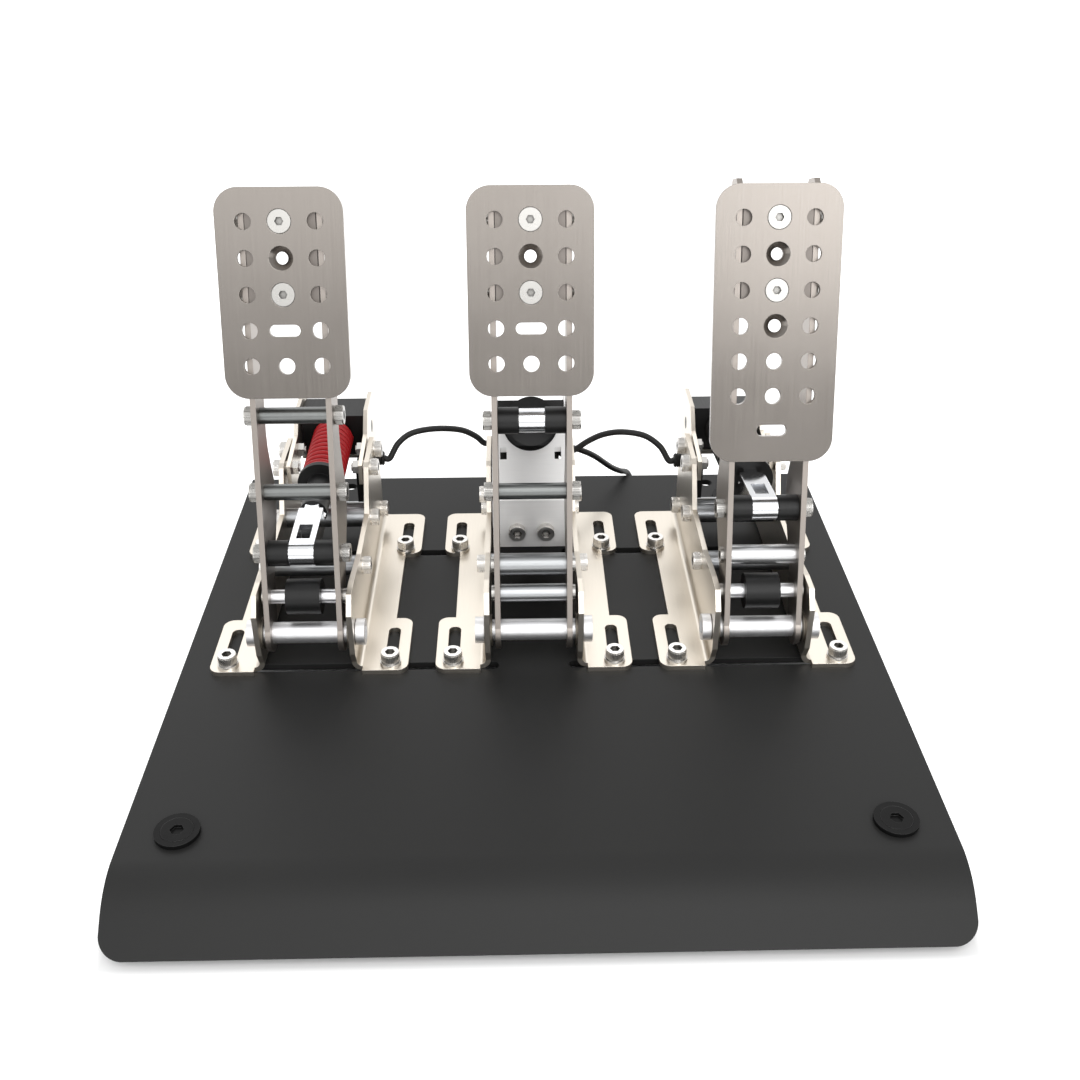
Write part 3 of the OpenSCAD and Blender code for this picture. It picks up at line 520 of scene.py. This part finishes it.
ring = knurl.node("GeometryNodeInstanceOnPoints", None, {"Points": rim, "Instance": ridge})
rims = knurl.on_points(ring)
UPRIGHT = (0.0, 0.0, 0.0)
SIDEWAYS = (0.0, math.pi / 2, 0.0)
ENDWAYS = (math.pi / 2, 0.0, 0.0)
KNURLED_SHARE = 0.72
# shortest screws that have a knurled head, and the shortest pin that has a head at both ends
CLAMP_SCREW = 0.015
SIDE_SCREW = 0.016
TWO_HEADED = 0.045


def rim_on(place, turn, height):
    """A knurled rim that leaves the chamfer at both ends of a head plain."""
    return tuple(place), turn, (1.0, 1.0, height * KNURLED_SHARE)


def head_wide(width):
    return abs(width - 2 * HEAD_R) < HEAD_SLACK


def nearest_pedal(x):
    return min((joint["pos_m"][0] for joint in frame["joints"]), key=lambda place: abs(place - x))


def side_rims(node):
    """Rims for the full-height heads of a node's screws, which lie along X or point at the driver."""
    found = []
    for low, high in solid_boxes(node):
        size = high - low
        middle = (low + high) / 2
        if head_wide(max(size.y, size.z)) and size.x > SIDE_SCREW:
            outward = 1 if middle.x > nearest_pedal(middle.x) else -1
            for end in (1, -1) if size.x > TWO_HEADED else (outward,):
                outer = high.x - SIDE_HEAD / 2 if end > 0 else low.x + SIDE_HEAD / 2
                found.append(rim_on((outer, middle.y, middle.z), SIDEWAYS, SIDE_HEAD))
        elif head_wide(size.x) and head_wide(size.z):
            found.append(rim_on((middle.x, low.y + SIDE_HEAD / 2, middle.z), ENDWAYS, SIDE_HEAD))
    return found


clamp_rims = []
for low, high in solid_boxes("clamp_screws"):
    if high.z - low.z > CLAMP_SCREW:
        place = ((low.x + high.x) / 2, (low.y + high.y) / 2, high.z - CLAMP_HEAD / 2)
        clamp_rims.append(rim_on(place, UPRIGHT, CLAMP_HEAD))
knurl.end(rims, zinc)
base_rims = knurl.make("frame_screw_knurls", clamp_rims + side_rims("cheek_screws"))
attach(base_rims, "base")
knurl.end(rims, arm_zinc)
for pedal in PEDALS:
    arm_rims = knurl.make(f"{pedal}_screw_knurls", side_rims(f"{pedal}_screws"))
    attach(arm_rims, f"{pedal}_arm")

# Cross bars and spacers are turned from bar, so their grain runs round the bar.
# The upper bars are dull, the low spacers half bright, and the low shafts and the axles ground bright.
# The bushes that carry the axles in the cheeks are dark sintered bronze.
ROUND_GRAIN = (2500.0, 20.0, 20.0)
SINTER_GRAIN = (900.0, 900.0, 900.0)
UPPER_BAR = (0.20, 0.207, 0.203, 1.0)
LOW_SHAFT = (0.86, 0.86, 0.87, 1.0)
LOW_SPACER = (0.42, 0.43, 0.44, 1.0)
GROUND_STEEL = (0.92, 0.92, 0.93, 1.0)
SINTERED_BRONZE = (0.22, 0.20, 0.17, 1.0)
SHAFT_TOP = 0.076
SHAFT_FADE = 0.045


def turned_bar(name, low_colour):
    """A bar finish that goes from dull on the upper bars to low_colour at the height of the low shafts."""
    bar = plated(name, UPPER_BAR, dull=0.26, grain=ROUND_GRAIN)
    _, _, height = bar.axes(bar.place())
    bar.over(1 - ((height - SHAFT_TOP) / SHAFT_FADE).clamped(), low_colour)
    return bar


dress(turned_bar("turned_bar", LOW_SHAFT), "clutch_bars", "throttle_bars")
dress(turned_bar("brake_bar", LOW_SPACER), "brake_bars", "cheek_bars")
ground = plated("ground_axle", GROUND_STEEL, dull=0.38, grain=ROUND_GRAIN)
dress(ground, *[f"{pedal}_axle" for pedal in PEDALS])
dress(plated("sintered_bush", SINTERED_BRONZE, dull=0.42, grain=SINTER_GRAIN), "axle_bushes")

# Each pedal swings on two flat arm plates, laser cut from 3 mm steel, with a channel bolted between them.
# The arms keep a plain satin finish with grain along their length, and the channels are painted darker, as
# painted shade for the shadow seen through the faces' holes.
joint_at = {joint["name"]: Vector(joint["pos_m"]) for joint in frame["joints"]}
clutch_up = joint_at["clutch_link_pin"] - joint_at["clutch_pedal"]
LEAN = math.atan2(clutch_up.y, clutch_up.z)
ALONG_ARM = (LEAN, 0.0, 0.0)
ARM_GRAIN = (1200.0, 1200.0, 40.0)
ARM_SATIN = (0.335, 0.302, 0.275, 1.0)
# the channel's colour is darkened to stand in for the shade behind the faces, and is not the steel's own tone
CHANNEL_SHADED_SATIN = (0.20, 0.18, 0.165, 1.0)
arm_steel = plated("arm_steel", ARM_SATIN, dull=0.30, grain=ARM_GRAIN, turn=ALONG_ARM)
channel_steel = plated("channel_steel", CHANNEL_SHADED_SATIN, dull=0.36, grain=ARM_GRAIN, turn=ALONG_ARM)
for pedal in PEDALS:
    dress(arm_steel, f"{pedal}_arm_l", f"{pedal}_arm_r")
    dress(channel_steel, f"{pedal}_face_bracket")

# The faces are the foot plates: 3 mm stainless sheet, punched with upright rows of holes and brushed upwards.
# The brushing is a fine streaky grain that catches the light in a soft vertical band.
FACE_LOW = (0.140, 0.125, 0.112, 1.0)
FACE_HIGH = (0.270, 0.250, 0.231, 1.0)
FACE_EDGE = (0.45, 0.42, 0.39, 1.0)
STREAKS = (1400.0, 300.0, 14.0)
HAIRS = (5200.0, 300.0, 60.0)
FACE_DULL = 0.17
STREAK_DULL = 0.08
SMEAR_DULL = 0.07
STREAK_SHARE = 0.5
HAIR_SHARE = 0.2
SMEAR_SHARE = 0.3
STREAK_RELIEF = 0.6
HAIR_RELIEF = 0.4
stainless = Finish("brushed_stainless", Metallic=1.0)
streak = stainless.noise(stainless.place(ALONG_ARM, STREAKS), detail=5.0, roughness=0.65)
hair = stainless.noise(stainless.place(ALONG_ARM, HAIRS))
smear = stainless.noise(stainless.place(), scale=18.0, detail=3.0, roughness=0.6)
face_edge = stainless.rounded(radius=0.0004)
face_tone = (streak * STREAK_SHARE + hair * HAIR_SHARE + smear * SMEAR_SHARE).clamped()
face_shade = stainless.mix(face_tone, FACE_LOW, FACE_HIGH)
stainless.set("Base Color", stainless.mix(stainless.edges(face_edge, gain=4.0), face_shade, FACE_EDGE))
stainless.set("Roughness", FACE_DULL + streak * STREAK_DULL + smear * SMEAR_DULL)
face_relief = streak * STREAK_RELIEF + hair * HAIR_RELIEF
stainless.bump(face_relief, strength=0.09, distance=0.0002, under=face_edge)
dress(stainless, *[f"{pedal}_face" for pedal in PEDALS])

# The link pins carry black acetal sleeves, and the rods press black cups and slide through black blocks.
# The acetal is turned or milled, with a low sheen and faint tool marks.
TOOL_MARKS = (2200.0, 60.0, 60.0)
acetal = with_bright_edges("black_acetal", shades=(0.006, 0.03), metallic=0.0, sheen=0.32, dull=0.34,
                           vary=0.14, relief=0.05, rounding=0.0005, gain=3.0, stretch=TOOL_MARKS)
for pedal in PEDALS:
    dress(acetal, f"{pedal}_sleeves", f"{pedal}_seat", f"{pedal}_block")

# The link is a clevis with a window, machined from steel and polished.
# It holds the link pin between the two sleeves, is screwed to the push rod and locked by a nut.
POLISH_GRAIN = (120.0, 120.0, 120.0)
POLISHED_STEEL = (0.86, 0.87, 0.89, 1.0)
chrome = plated("polished_link", POLISHED_STEEL, dull=0.06, grain=POLISH_GRAIN, rounding=0.0006)
dress(chrome, *[f"{pedal}_link" for pedal in PEDALS])

# The rear brackets carry the pivot blocks and are bent from sheet.
# Those of clutch and throttle are screwed to the cheeks and plated as they are.
# The brake's is screwed to the load cell and has a pale, matt zinc finish.
BRACKET_GRAIN = (60.0, 900.0, 900.0)
PALE_ZINC = (0.97, 0.96, 0.95, 1.0)
MATT_METALLIC = 0.2
bracket_steel = plated("bracket_steel", PALE_ZINC, dull=0.40, grain=BRACKET_GRAIN)
bracket_steel.set("Metallic", MATT_METALLIC)
dress(bracket_steel, "brake_bracket")
dress(nickel, "clutch_bracket", "throttle_bracket")

# The load cell is a milled alloy bar that hangs on two spacers between the brake's cheeks.
# The brake's bracket is screwed to its front, and its mill marks run across it.
MILL_MARKS = (60.0, 2000.0, 2000.0)
CELL_ALLOY = (0.74, 0.75, 0.76, 1.0)
dress(plated("milled_alloy", CELL_ALLOY, dull=0.28, grain=MILL_MARKS), "load_cell")

# The sensors, the control box, the socket and the glands are black moulded plastic with a fine grain.
# The sensors sit inside the cheeks, the box stands on the plate and the socket hangs under it.
moulded = moulding("moulded_black", shades=(0.010, 0.016), sheen=0.4, scale=1600.0, dull=0.46, vary=0.16,
                   relief=0.15, rounding=0.0006)
dress(moulded, "position_sensors", "control_box", "usb_socket", "lead_glands")

# Each rod carries what pushes its pedal back: a red coil spring on the clutch, a black one on the throttle.
# The wire is enamelled, and its end turns are closed so that they sit flat.
WIRE_SIDES = 14
coil = Recipe("coil_spring", Turns=10.0, Closed=1.2, Mean=0.0115, Wire=0.003, Length=0.06, Steps=240)
spine = coil.node("GeometryNodeCurvePrimitiveLine", None, {
    "Start": (0.0, 0.0, 0.0), "End": (0.0, 1.0, 0.0)})
steps = coil.node("GeometryNodeResampleCurve", None, {"Curve": spine, "Count": coil.size("Steps")})
along = coil.node("GeometryNodeSplineParameter", out="Factor")
turns, closed, wire = coil.size("Turns"), coil.size("Closed"), coil.size("Wire")
closed_share = closed / turns
angle = along * turns * (2 * math.pi)
first_turns = along.math("MINIMUM", closed_share) * turns * wire
last_turns = (along - (1 - closed_share)).math("MAXIMUM", 0.0) * turns * wire
open_part = ((along - closed_share) / (1 - closed_share * 2)).clamped()
open_length = coil.size("Length") - wire - closed * wire * 2
rise = wire / 2 + first_turns + last_turns + open_part * open_length
winding = coil.node("ShaderNodeCombineXYZ", None, {
    "X": angle.math("COSINE") * coil.size("Mean"), "Y": rise, "Z": angle.math("SINE") * coil.size("Mean")})
wound = coil.node("GeometryNodeSetPosition", None, {"Geometry": steps, "Position": winding})
section = coil.node("GeometryNodeCurvePrimitiveCircle", None, {"Resolution": WIRE_SIDES, "Radius": wire / 2})
tube = coil.node("GeometryNodeCurveToMesh", None, {
    "Curve": wound, "Profile Curve": section, "Fill Caps": True})


ENAMEL_VARY = 0.1


def enamel(name, low, high, dull, **constants):
    """Gloss paint on wire, with a faint cloud in its colour and its gloss."""
    paint = Finish(name, Metallic=0.0, **constants)
    cloud = paint.noise(paint.place(), scale=300.0)
    paint.set("Base Color", paint.mix(cloud, low, high))
    paint.set("Roughness", dull + cloud * ENAMEL_VARY)
    return paint


RED_LOW = (0.36, 0.010, 0.013, 1.0)
RED_HIGH = (0.45, 0.016, 0.021, 1.0)
BLACK_LOW = grey(0.010)
BLACK_HIGH = grey(0.018)
red = enamel("red_enamel", RED_LOW, RED_HIGH, dull=0.28, Specular_IOR_Level=0.25, Coat_Weight=0.12,
             Coat_Roughness=0.15)
black = enamel("black_enamel", BLACK_LOW, BLACK_HIGH, dull=0.32, Coat_Weight=0.3, Coat_Roughness=0.2)


class Rod:
    """Where a pedal's push rod lies at rest, the stretch that a CAD node takes up on it, and its travel."""

    def __init__(self, pedal, node):
        joint = next(j for j in frame["joints"] if j["name"] == f"{pedal}_pedal")
        axle, pin = joint_at[f"{pedal}_pedal"], joint_at[f"{pedal}_link_pin"]
        pivot = joint_at[f"{pedal}_block_pivot"]
        self.joint = joint["name"]
        self.direction = (pivot - pin).normalized()
        slope = math.atan2(self.direction.z, self.direction.y)
        self.place = Matrix.Translation(pin) @ Matrix.Rotation(slope, 4, "X")
        pressed = Matrix.Rotation(-math.radians(joint["range_deg"][1]), 3, "X") @ (pin - axle) + axle
        self.travel = (pivot - pin).length - (pivot - pressed).length
        stations = [(vertex.co - pin).dot(self.direction) for vertex in frame["nodes"][node].data.vertices]
        self.start, self.end = min(stations), max(stations)
        self.free = self.end - self.start

    def squash(self, piece):
        """Gives the piece a mesh of its own."""
        keep = 1 - self.travel / self.free
        self.place @ Vector((0.0, self.start, 0.0))
        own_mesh(piece)


TURN_STEPS = 28
SPRINGS = (
    # pedal, turns, paint, slot
    ("clutch", 12.0, red, "spring_red"),
    ("throttle", 14.0, black, "spring_black"),
)
for pedal, count, paint, slot in SPRINGS:
    rod = Rod(pedal, f"{pedal}_spring")
    coil.end(tube, paint)
    spring = coil.make(f"{pedal}_coil", Turns=count, Length=rod.free, Steps=int(count * TURN_STEPS))
    spring.data.transform(rod.place @ Matrix.Translation((0.0, rod.start, 0.0)))
    spring.data.shade_smooth()
    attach(spring, f"{pedal}_rod")
    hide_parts(f"{pedal}_spring")
    rod.squash(spring)

# Each rod runs on through its block to a stop nut, and its tail behind the nut shows the rolled M8 thread.
# The thread's crest is wound by the spring recipe, without closed turns.
THREAD_PITCH = 0.00125
THREAD_CREST = 0.0010
THREAD_STEPS = 32
THREAD_INSET = 0.0003
TAIL = 0.0088
ROD_R = 0.004
thread_turns = TAIL / THREAD_PITCH
coil.end(tube, chrome)
for pedal in PEDALS:
    rod = Rod(pedal, f"{pedal}_link")
    thread = coil.make(f"{pedal}_rod_thread", Turns=thread_turns, Closed=0.0, Mean=ROD_R, Wire=THREAD_CREST,
                       Length=TAIL, Steps=int(thread_turns * THREAD_STEPS))
    thread.data.transform(rod.place @ Matrix.Translation((0.0, rod.end - TAIL - THREAD_INSET, 0.0)))
    thread.data.shade_smooth()
    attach(thread, f"{pedal}_rod")

# The brake has a stack of three cast elastomers in place of a spring.
# Each is a short barrel that bulges a little, with soft corners and a bore that clears the rod.


def lathe(name, outline, finish, sides=48):
    """A closed ring turned round the Y axis from (radius, station) points."""
    angles = [2 * math.pi * k / sides for k in range(sides)]
    places = [(r * math.cos(a), y, r * math.sin(a)) for r, y in outline for a in angles]
    faces = []
    for row in range(len(outline)):
        after = (row + 1) % len(outline)
        for k in range(sides):
            beside = (k + 1) % sides
            faces.append((row * sides + k, after * sides + k, after * sides + beside, row * sides + beside))
    mesh = bpy.data.meshes.new(name)
    mesh.from_pydata(places, [], faces)
    mesh.shade_smooth()
    mesh.materials.append(finish.material)
    piece = bpy.data.objects.new(name, mesh)
    bpy.context.scene.collection.objects.link(piece)
    return piece


def joined(name, pieces):
    """One object from several that share a finish."""
    with bpy.context.temp_override(active_object=pieces[0], selected_editable_objects=pieces):
        bpy.ops.object.join()
    pieces[0].name = name
    return pieces[0]


BARRELS = 3
BARREL_R = 0.0133
BARREL_BULGE = 0.0009
BARREL_BORE = 0.0044
BARREL_CORNER = 0.0022
BARREL_GAP = 0.0004
CORNER_STEPS = 6
BULGE_STEPS = 8
brake_rod = Rod("brake", "brake_elastomers")
barrel_pitch = (brake_rod.free + BARREL_GAP) / BARRELS
barrel_length = barrel_pitch - BARREL_GAP
rim_r = BARREL_R - BARREL_BULGE
corner_angles = [math.pi / 2 * k / CORNER_STEPS for k in range(CORNER_STEPS + 1)]
barrels = []
for number in range(BARRELS):
    start = brake_rod.start + number * barrel_pitch
    end = start + barrel_length
    outline = [(BARREL_BORE, start)]
    outline += [(rim_r - BARREL_CORNER * (1 - math.sin(a)), start + BARREL_CORNER * (1 - math.cos(a)))
                for a in corner_angles]
    for step in range(1, BULGE_STEPS):
        share = step / BULGE_STEPS
        station = start + BARREL_CORNER + share * (barrel_length - 2 * BARREL_CORNER)
        outline.append((rim_r + (BARREL_R - rim_r) * math.sin(math.pi * share), station))
    outline += [(rim_r - BARREL_CORNER * (1 - math.cos(a)), end - BARREL_CORNER * (1 - math.sin(a)))
                for a in corner_angles]
    outline.append((BARREL_BORE, end))
    barrels.append(lathe(f"elastomer_{number}", outline, rubber))
stack = joined("brake_elastomer_stack", barrels)
stack.data.transform(brake_rod.place)
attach(stack, "brake_rod")
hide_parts("brake_elastomers")
brake_rod.squash(stack)

# Three leads run from moulded glands: clutch and throttle sensor to the box, and the box to the socket.
# They are 4 mm cable in a black PVC jacket, stiff enough to stand in an arc between their glands.
PLATE_TOP = plate_high.z
PLATE_BACK = plate_high.y
LEAD_D = 0.004
LEAD_ROUNDNESS = 5
JACKET_LOW = grey(0.009)
JACKET_HIGH = grey(0.014)
JACKET_DULL = 0.40
JACKET_VARY = 0.15
jacket = Finish("lead_jacket", Metallic=0.0, Specular_IOR_Level=0.4)
jacket_grain = jacket.noise(jacket.place(), scale=1200.0)
jacket.set("Base Color", jacket.mix(jacket_grain, JACKET_LOW, JACKET_HIGH))
jacket.set("Roughness", JACKET_DULL + jacket_grain * JACKET_VARY)
jacket.bump(jacket_grain, strength=0.05, distance=0.0002)
# routes from gland to gland, in X, Y and height above the plate
SOCKET_GLAND = (0.076, PLATE_BACK - 0.002, -0.015)
ROUTES = {
    "clutch_lead": [(-0.095, 0.134, 0.053), (-0.0915, 0.134, 0.053), (-0.086, 0.139, 0.061),
                    (-0.077, 0.144, 0.066), (-0.062, 0.149, 0.0665), (-0.046, 0.154, 0.063),
                    (-0.036, 0.1565, 0.057), (-0.0305, 0.158, 0.051), (-0.027, 0.158, 0.051)],
    "throttle_lead": [(0.095, 0.134, 0.049), (0.0915, 0.134, 0.049), (0.086, 0.1395, 0.0565),
                      (0.076, 0.146, 0.0613), (0.062, 0.1505, 0.0618), (0.050, 0.154, 0.0585),
                      (0.040, 0.1555, 0.053), (0.0305, 0.156, 0.046), (0.027, 0.156, 0.046)],
    "usb_lead": [(0.027, 0.166, 0.042), (0.031, 0.166, 0.042), (0.040, 0.170, 0.0365),
                 (0.047, 0.175, 0.030), (0.053, 0.181, 0.0225), (0.0595, 0.189, 0.014),
                 (0.066, 0.197, 0.007), (0.072, PLATE_BACK + 0.005, 0.0),
                 (0.0755, PLATE_BACK + 0.008, -0.0085),
                 (0.076, SOCKET_GLAND[1] + 0.006, SOCKET_GLAND[2] + 0.0012), SOCKET_GLAND],
}
SPLINE_STEPS = 8


def spline(before, start, end, after, t):
    """A point on the smooth curve between start and end."""
    return 0.5 * (2 * start + (end - before) * t + (2 * before - 5 * start + 4 * end - after) * t * t
                  + (3 * start - before - 3 * end + after) * t ** 3)


def smooth(route):
    last = len(route) - 1
    line = [spline(route[max(n - 1, 0)], route[n], route[n + 1], route[min(n + 2, last)], k / SPLINE_STEPS)
            for n in range(last) for k in range(SPLINE_STEPS)]
    return line + [route[last]]


for node, route in ROUTES.items():
    line = smooth([Vector(point) + Vector((0.0, 0.0, PLATE_TOP)) for point in route])
    curve = bpy.data.curves.new(f"{node}_cable", "CURVE")
    curve.dimensions = "3D"
    curve.bevel_depth = LEAD_D / 2
    curve.bevel_resolution = LEAD_ROUNDNESS
    curve.use_fill_caps = True
    strand = curve.splines.new("POLY")
    strand.points.add(len(line) - 1)
    for point, place in zip(strand.points, line):
        point.co = (*place, 1.0)
    curve.materials.append(jacket.material)
    cable = bpy.data.objects.new(f"{node}_cable", curve)
    bpy.context.scene.collection.objects.link(cable)
    length = sum((b - a).length for a, b in zip(line, line[1:]))
    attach(cable, "base")
    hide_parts(node)

# Each lead leaves its housing through a gland, a strain relief of the same moulded plastic.
# Three beads round the gland stiffen it and give the fingers a grip.
RIB_BEAD = 0.0007
RIB_RING = 0.0040
RING_STEPS = 32
BEAD_STEPS = 8
RIB_STATIONS = (-0.3, 0.0, 0.3)
ROUND_SLACK = 0.0002
ribs = Recipe("gland_ribs", Ring=RIB_RING, Bead=RIB_BEAD)
rib_ring = ribs.node("GeometryNodeCurvePrimitiveCircle", None, {
    "Resolution": RING_STEPS, "Radius": ribs.size("Ring")})
rib_bead = ribs.node("GeometryNodeCurvePrimitiveCircle", None, {
    "Resolution": BEAD_STEPS, "Radius": ribs.size("Bead")})
rib = ribs.node("GeometryNodeCurveToMesh", None, {"Curve": rib_ring, "Profile Curve": rib_bead})
ribs.end(ribs.on_points(rib), moulded)
rib_points = []
for low, high in solid_boxes("lead_glands"):
    size = high - low
    along_x = abs(size.y - size.z) < ROUND_SLACK
    reach = Vector((size.x, 0.0, 0.0)) if along_x else Vector((0.0, size.y, 0.0))
    swell = size.z / (2 * RIB_RING)
    for station in RIB_STATIONS:
        place = (low + high) / 2 + reach * station
        rib_points.append((tuple(place), SIDEWAYS if along_x else ENDWAYS, (swell, swell, 1.0)))
gland_ribs = ribs.make("lead_gland_ribs", rib_points)
gland_ribs.data.shade_smooth()
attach(gland_ribs, "base")

# The lids of the control box and of the two sensors are held by small black oxide screws.
# Their heads are low cones that stand in the box's recesses and on the sensors' open sides.
LID_HEAD = 0.0021
LID_CROWN = 0.0014
LID_HEIGHT = 0.0014
LID_SIDES = 24
LID_INSET = 0.006
BOX_RECESS = 0.002
lids = Recipe("lid_screws", Head=LID_HEAD, Crown=LID_CROWN, Height=LID_HEIGHT)
lid_head = lids.node("GeometryNodeMeshCone", None, {
    "Vertices": LID_SIDES, "Radius Bottom": lids.size("Head"), "Radius Top": lids.size("Crown"),
    "Depth": lids.size("Height")})
lids.end(lids.on_points(lid_head), oxide)
box_low, box_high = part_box("control_box")
box_middle_y = (box_low.y + box_high.y) / 2
lid_points = [((x, box_middle_y, box_high.z - BOX_RECESS), UPRIGHT, EVEN)
              for x in (box_low.x + LID_INSET, box_high.x - LID_INSET)]
for low, high in solid_boxes("position_sensors"):
    outward = -1 if low.x < 0 else 1
    face_x = low.x if outward < 0 else high.x
    for z in (low.z + LID_INSET, high.z - LID_INSET):
        place = (face_x, (low.y + high.y) / 2, z)
        lid_points.append((place, (0.0, outward * math.pi / 2, 0.0), EVEN))
lid_screws = lids.make("lid_screws", lid_points)
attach(lid_screws, "base")
